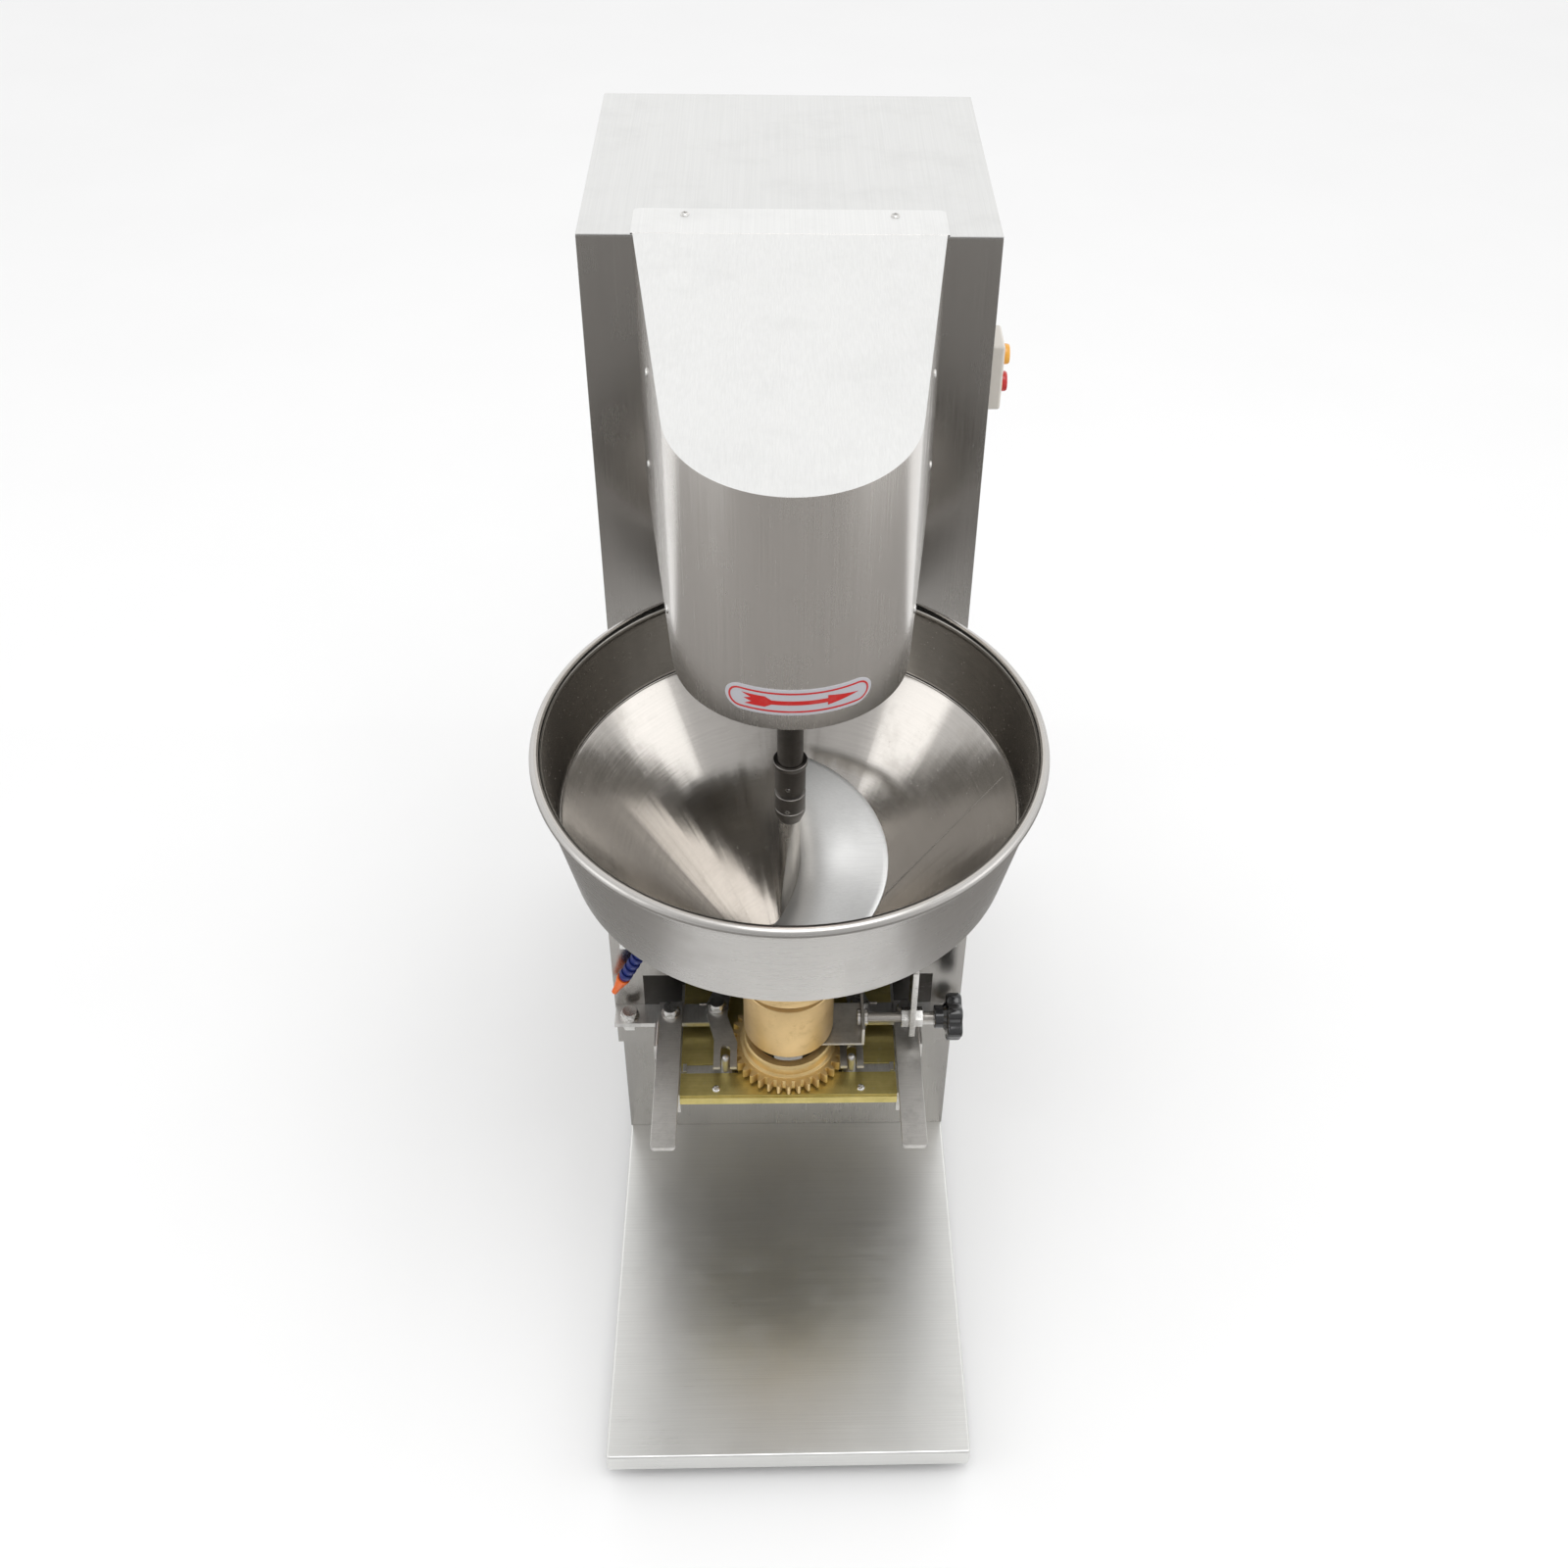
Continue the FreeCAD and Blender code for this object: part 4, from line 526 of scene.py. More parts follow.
# casing sheets, plates and bars keep their CAD shape with broken edges
sheets = {
    "column_shell": ("columnPanels", "sheetUpright", 0.0006),
    "column_lid": ("columnLid", "sheetFlat", 0.0006),
    "rear_cover": ("rearDoor", "sheetUpright", 0.0005),
    "lower_cabinet": ("cabinetFront", "sheetUpright", 0.0006),
    "front_housing": ("driveHousing", "sheetUpright", 0.0006),
    "head_cover": ("headShell", "sheetNose", 0.0006),
    "hopper_support_plate": ("hopperPlate", "sheetBase", 0.0008),
    "hopper_brackets": ("hopperAngles", "plateSteel", 0.0005),
    "slide_bed": ("brassBed", "brass", 0.0005),
    "bed_supports": ("bedRails", "plateSteel", 0.0004),
    "knife_left": ("knifeLeft", "milledSteel", 0.0004),
    "knife_right": ("knifeRight", "milledSteel", 0.0004),
    "fork_left": ("forkLeft", "plateSteel", 0.0005),
    "fork_right": ("forkRight", "plateSteel", 0.0005),
    "shelf_left": ("shelfLeft", "milledSteel", 0.0006),
    "shelf_right": ("shelfRight", "milledSteel", 0.0006),
    "tray_arm_left": ("trayArmLeft", "plateSteel", 0.0006),
    "tray_arm_right": ("trayArmRight", "plateSteel", 0.0006),
    "gate_plate": ("gatePlate", "plateSteel", 0.0004),
    "adjuster_bracket": ("screwBracket", "zinc", 0.0005),
    "adjuster_nuts": ("screwNuts", "zinc", 0.0004),
    "hex_bolts": ("hexBolts", "zinc", 0.0003),
    "forming_gear": ("formingGear", "toothBronze", 0.0004),
    "drive_gear": ("driveGear", "plateSteel", 0.0004),
    "cable_gland": ("cableGland", "dullBlack", 0.0004),
    "hose_fitting": ("hoseFitting", "bronze", 0.0003),
}
for node, (name, look, width) in sheets.items():
    softened(node, name, look, width)
otherFinish(bpy.data.objects["headShell"], "sheetTop", lambda face: face.normal.z > 0.6)
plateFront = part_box("hopper_brackets")[0].y
otherFinish(
    bpy.data.objects["hopperPlate"], "bronze",
    lambda face: face.center.y < plateFront - 0.0002 and abs(face.normal.z) < 0.9,
)
paintedShadeEnd = 0.056  # the blade faces under the sleeve are painted darker than their bars: painted shade for the gap under the sleeve
for name, x in (("knifeLeft", -paintedShadeEnd), ("knifeRight", paintedShadeEnd)):
    pick(bpy.data.objects[name])
    bpy.ops.object.mode_set(mode="EDIT")
    bpy.ops.mesh.select_all(action="SELECT")
    bpy.ops.mesh.bisect(plane_co=(x, 0, 0), plane_no=(1, 0, 0))
    bpy.ops.object.mode_set(mode="OBJECT")
    otherFinish(bpy.data.objects[name], "darkShaft", lambda face: abs(face.center.x) < paintedShadeEnd)
print("edges broken on", len(sheets), "pieces")

# hopper: skirt, band, rolled rim, inside seam, cone and flange in one spun outline
hopper = {
    "bead": 0.0056, "wall": 0.002, "skirtRadius": 0.2015, "skirtRise": 0.181, "coneRise": 0.220,
    "throat": 0.042, "flange": 0.054, "flangeRise": 0.005, "seam": 0.0016, "steps": 160, "outerWall": 0.0085,
}


def makeHopper():
    low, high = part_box("hopper")
    rimRadius = (high.x - low.x) / 2 - hopper["bead"]
    rimZ = high.z - hopper["bead"]
    skirtZ = low.z + hopper["skirtRise"]
    coneZ = low.z + hopper["coneRise"]
    lean = (rimRadius - hopper["skirtRadius"]) / (rimZ - skirtZ)

    def inside(z):
        return hopper["skirtRadius"] - hopper["wall"] + lean * (z - skirtZ)

    seam = hopper["seam"]
    throat = hopper["throat"]
    points = [(hopper["skirtRadius"], skirtZ)]
    points += arcPoints((rimRadius, rimZ), hopper["bead"], -80, 235, 19)
    points += [(inside(rimZ - 0.008), rimZ - 0.008), (inside(coneZ + 2 * seam), coneZ + 2 * seam)]
    points += arcPoints((inside(coneZ) - 0.2 * seam, coneZ + 0.3 * seam), seam, 70, 215, 6)
    points += [(inside(coneZ) - 2.2 * seam, coneZ - 1.6 * seam), (throat + 0.002, low.z + 0.003)]
    points += [(throat, low.z + 0.001), (throat, low.z), (hopper["flange"], low.z)]
    flangeTop = low.z + hopper["flangeRise"]
    points += [(hopper["flange"], flangeTop), (throat + hopper["outerWall"], flangeTop)]
    points += [(inside(coneZ) - 0.0001, coneZ - 0.003), (inside(skirtZ), skirtZ), points[0]]
    bowl = turnedProfile(points, hopper["steps"])
    bowl.location = (0, axisY, 0)
    smoothed(bowl, 35)
    finished(bowl, "hopperBowl", "hopper", "bowlInside", ("hopper",))

    def outward(face):
        return Vector((face.center.x, face.center.y - axisY, 0)).normalized().dot(face.normal)

    # inward faces of the band above the seam take the darker band finish, painted shade for the hollow
    otherFinish(bowl, "bowlBand", lambda face: face.center.z > coneZ + 2.5 * seam and outward(face) < -0.3)
    otherFinish(bowl, "bowlOutside", lambda face: outward(face) > 0.1)


makeHopper()

# the ground-down seam where the cone's sheet meets itself
coneSeam = {"turn": 9, "top": (0.2005, 0.214), "foot": (0.0500, 0.012), "pitch": 0.0022, "size": 0.0008}


def makeConeSeam():
    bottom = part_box("hopper")[0].z
    turn = math.radians(coneSeam["turn"])
    ends = []
    for radius, rise in (coneSeam["foot"], coneSeam["top"]):
        ends.append(Vector((radius * math.cos(turn), axisY + radius * math.sin(turn), bottom + rise)))
    weldBead("coneSeam", "hopper", straightPath(*ends, coneSeam["pitch"]), coneSeam["size"], "bowlInside")


makeConeSeam()
print("hopper made")


# auger: a wide paddle in the cone and a tight feed screw in the sleeve
auger = {
    "shaft": 0.0098, "paddleRadius": 0.093, "paddleTop": 0.652, "paddleFall": 0.153, "paddleTurns": 0.75,
    "paddleStart": 88.0, "wallGap": 0.009, "wallTop": 0.207, "thickness": 0.0036, "edge": 0.0008,
    "feedRadius": 0.0245, "feedTop": 0.438, "feedPitch": 0.034, "feedTurns": 2.0588, "feedThickness": 0.0028,
    "feedEdge": 0.0005, "stepsPerTurn": 96, "weldRadius": 0.0104, "weldSize": 0.0011, "weldCount": 70,
}


def flight(reach, bottom, rise, turns, firstAngle, thickness, cuts):
    # a radial edge, wound upwards by a Screw modifier
    shaft = auger["shaft"]
    obj = drawnLine([(shaft + (reach - shaft) * i / cuts, 0) for i in range(cuts + 1)])
    bpy.ops.object.mode_set(mode="OBJECT")
    steps = round(turns * auger["stepsPerTurn"])
    applied(
        obj, "SCREW", angle=turns * math.tau, screw_offset=rise, steps=steps, render_steps=steps,
        use_smooth_shade=True, use_normal_calculate=True,
    )
    obj.rotation_euler = (0, 0, math.radians(firstAngle))
    obj.location = (0, axisY, bottom - thickness / 2)
    settled(obj)
    return obj


def makeAuger():
    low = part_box("hopper")[0]
    bottom = auger["paddleTop"] - auger["paddleFall"]
    start = auger["paddleStart"] - auger["paddleTurns"] * 360
    paddle = flight(
        auger["paddleRadius"], bottom, auger["paddleFall"], auger["paddleTurns"], start,
        auger["thickness"], 14,
    )
    lean = (auger["wallTop"] - hopper["throat"]) / hopper["coneRise"]
    for vertex in paddle.data.vertices:
        out = Vector((vertex.co.x, vertex.co.y - axisY, 0))
        wall = hopper["throat"] + lean * (vertex.co.z - low.z) - auger["wallGap"]
        room = min(1, (wall - auger["shaft"]) / (auger["paddleRadius"] - auger["shaft"]))
        grown = auger["shaft"] + (out.length - auger["shaft"]) * room
        vertex.co.x, vertex.co.y = (out.normalized() * grown).xy + Vector((0, axisY))
    applied(paddle, "SOLIDIFY", thickness=auger["thickness"], offset=0)
    rounded(paddle, auger["edge"], 2, 50)
    fall = auger["feedPitch"] * auger["feedTurns"]
    feed = flight(
        auger["feedRadius"], auger["feedTop"] - fall, fall, auger["feedTurns"],
        -auger["feedTurns"] * 360, auger["feedThickness"], 4,
    )
    applied(feed, "SOLIDIFY", thickness=auger["feedThickness"], offset=0)
    rounded(feed, auger["feedEdge"], 2, 50)
    both = joined([paddle, feed])
    smoothed(both, 40)
    finished(both, "augerFlights", "auger_flight", "paddle", ("auger_flight",))
    count = auger["weldCount"]
    r = auger["weldRadius"]
    path = []
    for i in range(count + 1):
        turn = math.radians(start) + auger["paddleTurns"] * math.tau * i / count
        z = bottom + auger["paddleFall"] * i / count
        path.append(Vector((r * math.cos(turn), axisY + r * math.sin(turn), z)))
    weldBead("paddleWeld", "auger_flight", path, auger["weldSize"])


makeAuger()

coupling = {"radius": 0.014, "lip": 0.0155, "bore": 0.0102, "topBore": 0.0117, "groove": 0.0008}


def makeCoupling():
    low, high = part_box("auger_coupling")
    r, g = coupling["radius"], coupling["groove"]
    mid = (low.z + high.z) / 2
    points = [(coupling["bore"], low.z), (r - 0.003, low.z), (r - 0.0005, low.z + 0.0075), (r, low.z + 0.009)]
    for z in (low.z + 0.0135, mid - 0.0035):
        points += [(r, z), (r - g, z + 0.0006), (r - g, z + 0.0014), (r, z + 0.002)]
    points += [(r - 0.0015, mid - 0.001), (r - 0.0015, mid + 0.003), (r, mid + 0.004), (r, high.z - 0.0055)]
    points += [(coupling["lip"] - 0.0003, high.z - 0.0045), (coupling["lip"], high.z - 0.004)]
    points += [(coupling["lip"], high.z - 0.0006), (coupling["lip"] - 0.0006, high.z)]
    points += [(coupling["topBore"] + 0.0008, high.z), (coupling["topBore"], high.z - 0.0008)]
    points += [(coupling["topBore"], mid), (coupling["bore"], mid), (coupling["bore"], low.z)]
    body = turnedProfile(points, 64)
    body.location = (0, axisY, 0)
    smoothed(body)
    finished(body, "shaftCoupling", "auger_coupling", "darkShaft", ("auger_coupling",))
    grub = turnedProfile([
        (0, -0.0008), (0.0012, -0.0008), (0.0012, 0.0002),
        (0.0022, 0.0002), (0.0024, -0.0002), (0.0024, -0.001),
    ], 6)
    grubs = []
    for z in (low.z + 0.018, mid + 0.010):
        for turn in (-100, 80):
            way = Vector((math.cos(math.radians(turn)), math.sin(math.radians(turn)), 0))
            grubs.append(copied(grub, facing(way, Vector((0, axisY, z)) + way * r)))
    bpy.data.objects.remove(grub)
    finished(joined(grubs), "grubScrews", "auger_coupling", "zinc")


makeCoupling()
print("auger and coupling made")


# bronze sleeve over the forming gear
sleeve = {
    "edge": 0.0012, "bore": 0.026, "recess": 0.010, "recessRadius": 0.038, "neck": 0.0301, "shoulder": 0.374,
}


def makeSleeve():
    low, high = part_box("forming_sleeve")
    r = (high.x - low.x) / 2
    e = sleeve["edge"]
    points = [(sleeve["bore"], low.z)] + arcPoints((r - e, low.z + e), e, -90, 0, 4)
    points += arcPoints((r - e, high.z - e), e, 0, 90, 4)
    floor = high.z - sleeve["recess"]
    wide, neck, shoulder = sleeve["recessRadius"], sleeve["neck"], sleeve["shoulder"]
    points += [(wide + e / 2, high.z), (wide, high.z - e / 2), (wide, floor), (neck, floor)]
    points += [(neck, shoulder), (sleeve["bore"], shoulder), (sleeve["bore"], low.z)]
    body = turnedProfile(points, 128)
    body.location = (0, axisY, 0)
    smoothed(body)
    finished(body, "formingSleeve", "forming_sleeve", "bronze", ("forming_sleeve",))


makeSleeve()


# star knob: six rounded lobes on a hub, with a steel insert
knob = {
    "radius": 0.025, "lobes": 6, "bite": 0.19, "thickness": 0.016, "edge": 0.0035, "dish": 0.0012,
    "dishRim": 0.0042, "hub": 0.012, "hubLength": 0.012, "bore": 0.0061,
}


def makeKnob():
    low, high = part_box("star_knob")
    centre = Vector((low.x + knob["hubLength"], (low.y + high.y) / 2, (low.z + high.z) / 2))
    bpy.ops.object.select_all(action="DESELECT")
    bpy.ops.mesh.primitive_cylinder_add(vertices=96, radius=knob["radius"], depth=knob["thickness"])
    star = bpy.context.object
    for vertex in star.data.vertices:
        turn = math.atan2(vertex.co.y, vertex.co.x) - math.pi / 2
        bite = (0.5 - 0.5 * math.cos(knob["lobes"] * turn)) ** 1.6 * knob["bite"]
        vertex.co.x *= 1 - bite
        vertex.co.y *= 1 - bite
    rounded(star, knob["edge"], 5, 60)
    pick(star)
    bpy.ops.object.mode_set(mode="EDIT")
    bpy.ops.mesh.select_all(action="DESELECT")
    bpy.ops.object.mode_set(mode="OBJECT")
    for face in star.data.polygons:
        face.select = face.normal.z > 0.9 and face.center.z > 0.45 * knob["thickness"]
    bpy.ops.object.mode_set(mode="EDIT")
    bpy.ops.mesh.inset(thickness=knob["dishRim"], depth=-knob["dish"])
    bpy.ops.object.mode_set(mode="OBJECT")
    star.matrix_world = facing((1, 0, 0), centre + Vector((knob["thickness"] / 2, 0, 0)))
    hub = turnedProfile([
        (knob["bore"], 0), (knob["hub"] - 0.001, 0), (knob["hub"], 0.001),
        (knob["hub"], knob["hubLength"] - 0.003), (knob["hub"] + 0.0035, knob["hubLength"] + 0.001),
        (knob["bore"], knob["hubLength"] + 0.001), (knob["bore"], 0),
    ], 48)
    hub.matrix_world = facing((1, 0, 0), (low.x, centre.y, centre.z))
    both = joined([star, hub])
    smoothed(both, 40)
    finished(both, "starKnob", "star_knob", "knobBlack", ("star_knob",))
    insert = turnedProfile([
        (0, 0.0002), (0.0028, 0.0002), (0.0028, 0.0011), (0.0052, 0.0011),
        (0.0062, 0.0004), (0.0062, -0.002), (0, -0.002),
    ], 6)
    insert.matrix_world = facing((1, 0, 0), (high.x - 0.0014, centre.y, centre.z))
    finished(insert, "knobInsert", "star_knob", "zinc")


makeKnob()


# size screw: a real M12 thread between plain collars
thread = {
    "pitch": 0.00175, "tip": 0.0060, "root": 0.0049, "chamfer": 0.0005,
    "collar": 0.0085, "collarWidth": 0.004, "collarBore": 0.0045,
}


def threadedRod(length, tip, root, pitch, steps=20):
    flank = [(root, 0), (root, 0.12 * pitch), (tip, 0.48 * pitch), (tip, 0.64 * pitch), (root, pitch)]
    coil = drawnLine(flank)
    bpy.ops.object.mode_set(mode="OBJECT")
    turns = int(length / pitch) - 1
    applied(
        coil, "SCREW", angle=math.tau, screw_offset=pitch, iterations=turns, steps=steps, render_steps=steps,
        use_merge_vertices=True, merge_threshold=0.000001, use_smooth_shade=False,
    )
    pick(coil)
    bpy.ops.object.mode_set(mode="EDIT")
    bpy.ops.mesh.select_all(action="SELECT")
    bpy.ops.mesh.remove_doubles(threshold=0.000002)
    bpy.ops.mesh.normals_make_consistent(inside=False)
    bpy.ops.object.mode_set(mode="OBJECT")
    chamfer = thread["chamfer"]
    core = turnedProfile([
        (0, 0), (root - chamfer, 0), (root, chamfer),
        (root, length - chamfer), (root - chamfer, length), (0, length),
    ], 24)
    return joined([coil, core])


def makeSizeScrew():
    low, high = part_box("adjusting_screw")
    y, z = (low.y + high.y) / 2, (low.z + high.z) / 2
    rod = threadedRod(high.x - low.x, thread["tip"], thread["root"], thread["pitch"])
    rod.matrix_world = facing((1, 0, 0), (low.x, y, z))
    parts = [rod]
    c, w, bore = thread["collar"], thread["collarWidth"], thread["collarBore"]
    for start in (low.x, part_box("gate_plate")[1].x + 0.0002):
        ring = turnedProfile([
            (bore, 0), (c - 0.0006, 0), (c, 0.0006), (c, w - 0.0008), (c - 0.0006, w - 0.0002),
            (bore, w - 0.0002), (bore, 0),
        ], 40)
        ring.matrix_world = facing((1, 0, 0), (start, y, z))
        parts.append(ring)
    both = joined(parts)
    smoothed(both, 30)
    finished(both, "sizeScrew", "adjusting_screw", "shaft", ("adjusting_screw",))


makeSizeScrew()
print("sleeve, knob and size screw made")


# water hose: ball-jointed links and a tapered nozzle
hose = {
    "radius": 0.007, "pitch": 0.0095, "links": 5, "lean": 26.0, "start": 0.0015, "pivotDrop": 0.012,
    "bore": 0.0030, "ball": 0.0042, "ballBore": 0.0028, "ballEnd": 0.0040, "nozzle": 0.026, "tip": 0.003,
}


def makeHose():
    low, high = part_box("hose_fitting")
    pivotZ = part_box("hopper_brackets")[1].z - hose["pivotDrop"]
    pivot = Vector(((low.x + high.x) / 2, (low.y + high.y) / 2, pivotZ))
    turn = Matrix.Translation(pivot) @ Matrix.Rotation(math.radians(hose["lean"]), 4, "Y")
    r, p, bore = hose["radius"], hose["pitch"], hose["bore"]
    outline = [(bore, 0.0002 * p), (r * 0.74, 0), (r * 0.80, 0.06 * p), (r * 0.86, 0.30 * p)]
    outline += [(r * 0.97, 0.46 * p), (r, 0.52 * p), (r, 0.80 * p), (r * 0.97, 0.88 * p)]
    outline += [(r * 0.88, 0.93 * p), (r * 0.60, 0.93 * p), (r * 0.60, 0.70 * p), (bore, 0.70 * p)]
    outline.append(outline[0])
    link = turnedProfile(outline, 40)
    links = []
    for i in range(hose["links"]):
        drop = -hose["start"] - (i + 1) * p
        links.append(copied(link, turn @ Matrix.Translation((0, 0, drop))))
    bpy.data.objects.remove(link)
    hole, end = hose["ballBore"], hose["ballEnd"]
    bulge = arcPoints((0, 0), hose["ball"], -60, 60, 7)
    ball = turnedProfile([(hole, -end)] + bulge + [(hole, end), (hole, -end)], 24)
    for i in range(1, hose["links"]):
        drop = -hose["start"] - i * p
        links.append(copied(ball, turn @ Matrix.Translation((0, 0, drop))))
    bpy.data.objects.remove(ball)
    chain = joined(links)
    smoothed(chain, 35)
    finished(chain, "hoseLinks", "hose_segments", "linkBlue", ("hose_segments",))
    n, t = hose["nozzle"], hose["tip"]
    cone = turnedProfile([
        (t * 0.6, 0), (t - 0.0004, 0), (t, 0.0004), (t * 1.35, n * 0.45), (t * 1.6, n * 0.50),
        (r * 0.90, n * 0.84), (r, n * 0.88), (r, n * 0.99), (r * 0.7, n), (t * 0.6, n * 0.7), (t * 0.6, 0),
    ], 40)
    cone.matrix_world = turn @ Matrix.Translation((0, 0, -hose["start"] - hose["links"] * p - n))
    smoothed(cone, 35)
    finished(cone, "hoseTip", "hose_nozzle", "tipOrange", ("hose_nozzle",))


makeHose()
print("hose made")


# turning-direction label: border line and feathered arrow, wrapped on the round nose
label = {
    "radius": 0.100, "film": 0.0005, "rise": 0.00065, "sheet": 0.00015, "inset": 0.0030, "line": 0.0016,
    "cut": 0.004, "arrow": 1.38,
}


def wrapped(outline, low, high, radius, extra, line=0):
    # fills a flat outline, cuts it into narrow strips and bends it round the nose
    obj = drawnLine(outline)
    bpy.ops.mesh.select_all(action="SELECT")
    bpy.ops.mesh.remove_doubles(threshold=0.00001)
    bpy.ops.mesh.select_all(action="SELECT")
    bpy.ops.mesh.edge_face_add()
    if line:
        bpy.ops.mesh.inset(thickness=line)
        bpy.ops.mesh.delete(type="FACE")
    cuts = int((high - low) / label["cut"])
    for i in range(1, cuts):
        x = low + (high - low) * i / cuts
        bpy.ops.mesh.select_all(action="SELECT")
        bpy.ops.mesh.bisect(plane_co=(x, 0, 0), plane_no=(1, 0, 0))
    bpy.ops.object.mode_set(mode="OBJECT")
    applied(obj, "SOLIDIFY", thickness=label["sheet"], offset=0)
    for vertex in obj.data.vertices:
        turn = vertex.co.x / radius
        out = radius + extra - vertex.co.y
        vertex.co = (out * math.sin(turn), axisY - out * math.cos(turn), vertex.co.z)
    pick(obj)
    bpy.ops.object.mode_set(mode="EDIT")
    bpy.ops.mesh.select_all(action="SELECT")
    bpy.ops.mesh.normals_make_consistent(inside=False)
    bpy.ops.object.mode_set(mode="OBJECT")
    return obj


def capsule(half, radius, middle, count=13):
    right = arcPoints((middle[0] + half, middle[1]), radius, -90, 90, count)
    left = arcPoints((middle[0] - half, middle[1]), radius, 90, 270, count)
    return right + left + right[:1]


def makeLabel():
    low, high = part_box("direction_label")
    radius = label["radius"]
    height = high.z - low.z
    arc = [math.asin(x / (radius + label["film"])) * radius for x in (low.x, high.x)]
    middle = ((arc[0] + arc[1]) / 2, (low.z + high.z) / 2)
    half = (arc[1] - arc[0]) / 2 - height / 2
    outer = height / 2 - label["inset"]
    reach = half + height / 2
    border = wrapped(
        capsule(half, outer, middle), middle[0] - reach, middle[0] + reach,
        radius, label["rise"], label["line"],
    )
    finished(border, "labelBorder", "direction_label", "redPrint")
    u = height / 2
    shape = [
        (-2.62, 0.42), (-2.18, 0.16), (-2.52, 0.00), (-2.16, -0.16), (-2.48, -0.42),
        (-1.55, -0.42), (-1.25, -0.18), (1.25, -0.16), (1.25, -0.38), (2.72, 0.02),
        (1.25, 0.38), (1.25, 0.15), (-1.25, 0.14), (-1.55, 0.40), (-2.62, 0.42),
    ]
    outline = [(middle[0] + x * u * label["arrow"], middle[1] + z * u) for x, z in shape]
    arrow = wrapped(outline, outline[0][0], outline[9][0], radius, label["rise"])
    finished(arrow, "labelArrow", "direction_label", "redPrint")


makeLabel()
print("label made")


# cross-recessed pan screws where the CAD screws are
screw = {
    "radius": 0.0042, "height": 0.0020, "cross": 0.0026, "slot": 0.0006, "depth": 0.0011,
    "shank": 0.0024, "shankLength": 0.005, "twist": 1.1, "side": (0.9903, -0.1389), "bedReach": 0.004,
}


def panScrew():
    r, h = screw["radius"], screw["height"]
    points = [(0, h), (r * 0.35, h * 0.97), (r * 0.70, h * 0.80), (r * 0.92, h * 0.48), (r, h * 0.16)]
    points += [(r * 0.98, 0), (screw["shank"], 0), (screw["shank"], -screw["shankLength"])]
    points.append((0, -screw["shankLength"]))
    head = turnedProfile(points, 28)
    cutters = []
    for size in ((screw["cross"], screw["slot"]), (screw["slot"], screw["cross"])):
        bpy.ops.mesh.primitive_cube_add(size=2)
        cutter = bpy.context.object
        cutter.scale = (size[0], size[1], screw["depth"])
        cutter.location = (0, 0, h)
        settled(cutter)
        cutters.append(cutter)
    for cutter in cutters:
        applied(head, "BOOLEAN", operation="DIFFERENCE", object=cutter, solver="EXACT")
        bpy.data.objects.remove(cutter)
    smoothed(head, 40)
    return head


def makePanScrews():
    islands = bpy.data.objects.new("screwPlaces", nodes["panel_screws"].data.copy())
    bpy.context.scene.collection.objects.link(islands)
    pick(islands)
    bpy.ops.object.mode_set(mode="EDIT")
    bpy.ops.mesh.select_all(action="SELECT")
    bpy.ops.mesh.remove_doubles(threshold=0.000003)
    bpy.ops.mesh.separate(type="LOOSE")
    bpy.ops.object.mode_set(mode="OBJECT")
    places = list(bpy.context.selected_objects)
    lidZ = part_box("column_lid")[1].z
    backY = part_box("rear_cover")[1].y
    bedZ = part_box("slide_bed")[1].z
    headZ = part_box("head_cover")[0].z
    head = panScrew()
    screws = []
    for place in places:
        corners = [vertex.co for vertex in place.data.vertices]
        low = Vector([min(c[i] for c in corners) for i in range(3)])
        high = Vector([max(c[i] for c in corners) for i in range(3)])
        middle = (low + high) / 2
        if high.z > lidZ or abs(high.z - bedZ) < screw["bedReach"]:
            way = Vector((0, 0, 1))
        elif high.y > backY:
            way = Vector((0, 1, 0))
        elif middle.z > headZ:
            across, ahead = screw["side"]
            way = Vector((math.copysign(across, middle.x), ahead, 0))  # the round nose's sides
        else:
            way = Vector((0, -1, 0))
        tip = max((c - middle).dot(way) for c in corners)
        turn = Matrix.Rotation(len(screws) * screw["twist"], 4, "Z")
        screws.append(copied(head, facing(way, middle + way * (tip - screw["height"])) @ turn))
    for extra in places + [head]:
        bpy.data.objects.remove(extra)
    finished(joined(screws), "panScrews", "panel_screws", "zinc", ("panel_screws",))


makePanScrews()
print("screws made")


# switch box: a milky case with amber collars round its buttons
switch = {"collar": 0.0118, "collarRise": 0.0016}


def makeSwitchBox():
    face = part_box("switch_box")[1].x
    softened("switch_box", "switchCase", "milky", 0.0003)
    collars = []
    for node in ("start_button", "stop_button"):
        bottom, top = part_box(node)
        y, z = (bottom.y + top.y) / 2, (bottom.z + top.z) / 2
        r = (top.y - bottom.y) / 2
        inner, outer, rise = r + 0.0006, switch["collar"], switch["collarRise"]
        ring = turnedProfile([
            (inner, -0.0002), (outer + 0.0006, -0.0002), (outer, rise * 0.7), (outer - 0.0007, rise),
            (inner + 0.0003, rise), (inner, rise * 0.6), (inner, -0.0002),
        ], 48)
        ring.matrix_world = facing((1, 0, 0), (face, y, z))
        collars.append(ring)
        cap = turnedProfile([
            (0, r * 0.66), (r * 0.55, r * 0.64), (r * 0.62, r * 0.70), (r * 0.90, r * 0.68),
            (r - 0.0002, r * 0.56), (r, r * 0.40), (r, -0.0055), (0, -0.0055),
        ], 48)
        cap.matrix_world = facing((1, 0, 0), (face, y, z))
        smoothed(cap, 40)
        look = "amber" if node == "start_button" else "stopRed"
        finished(cap, node.split("_")[0] + "Cap", node, look, (node,))
    smoothed(joined(collars), 40)
    finished(bpy.context.object, "buttonCollars", "switch_box", "amber")


makeSwitchBox()

# ribbed rubber feet under the base pan
foot = {
    "radius": 0.018, "topShare": 0.85, "grooves": 3, "groove": 0.0012, "firstGroove": 0.004, "pitch": 0.0045,
}


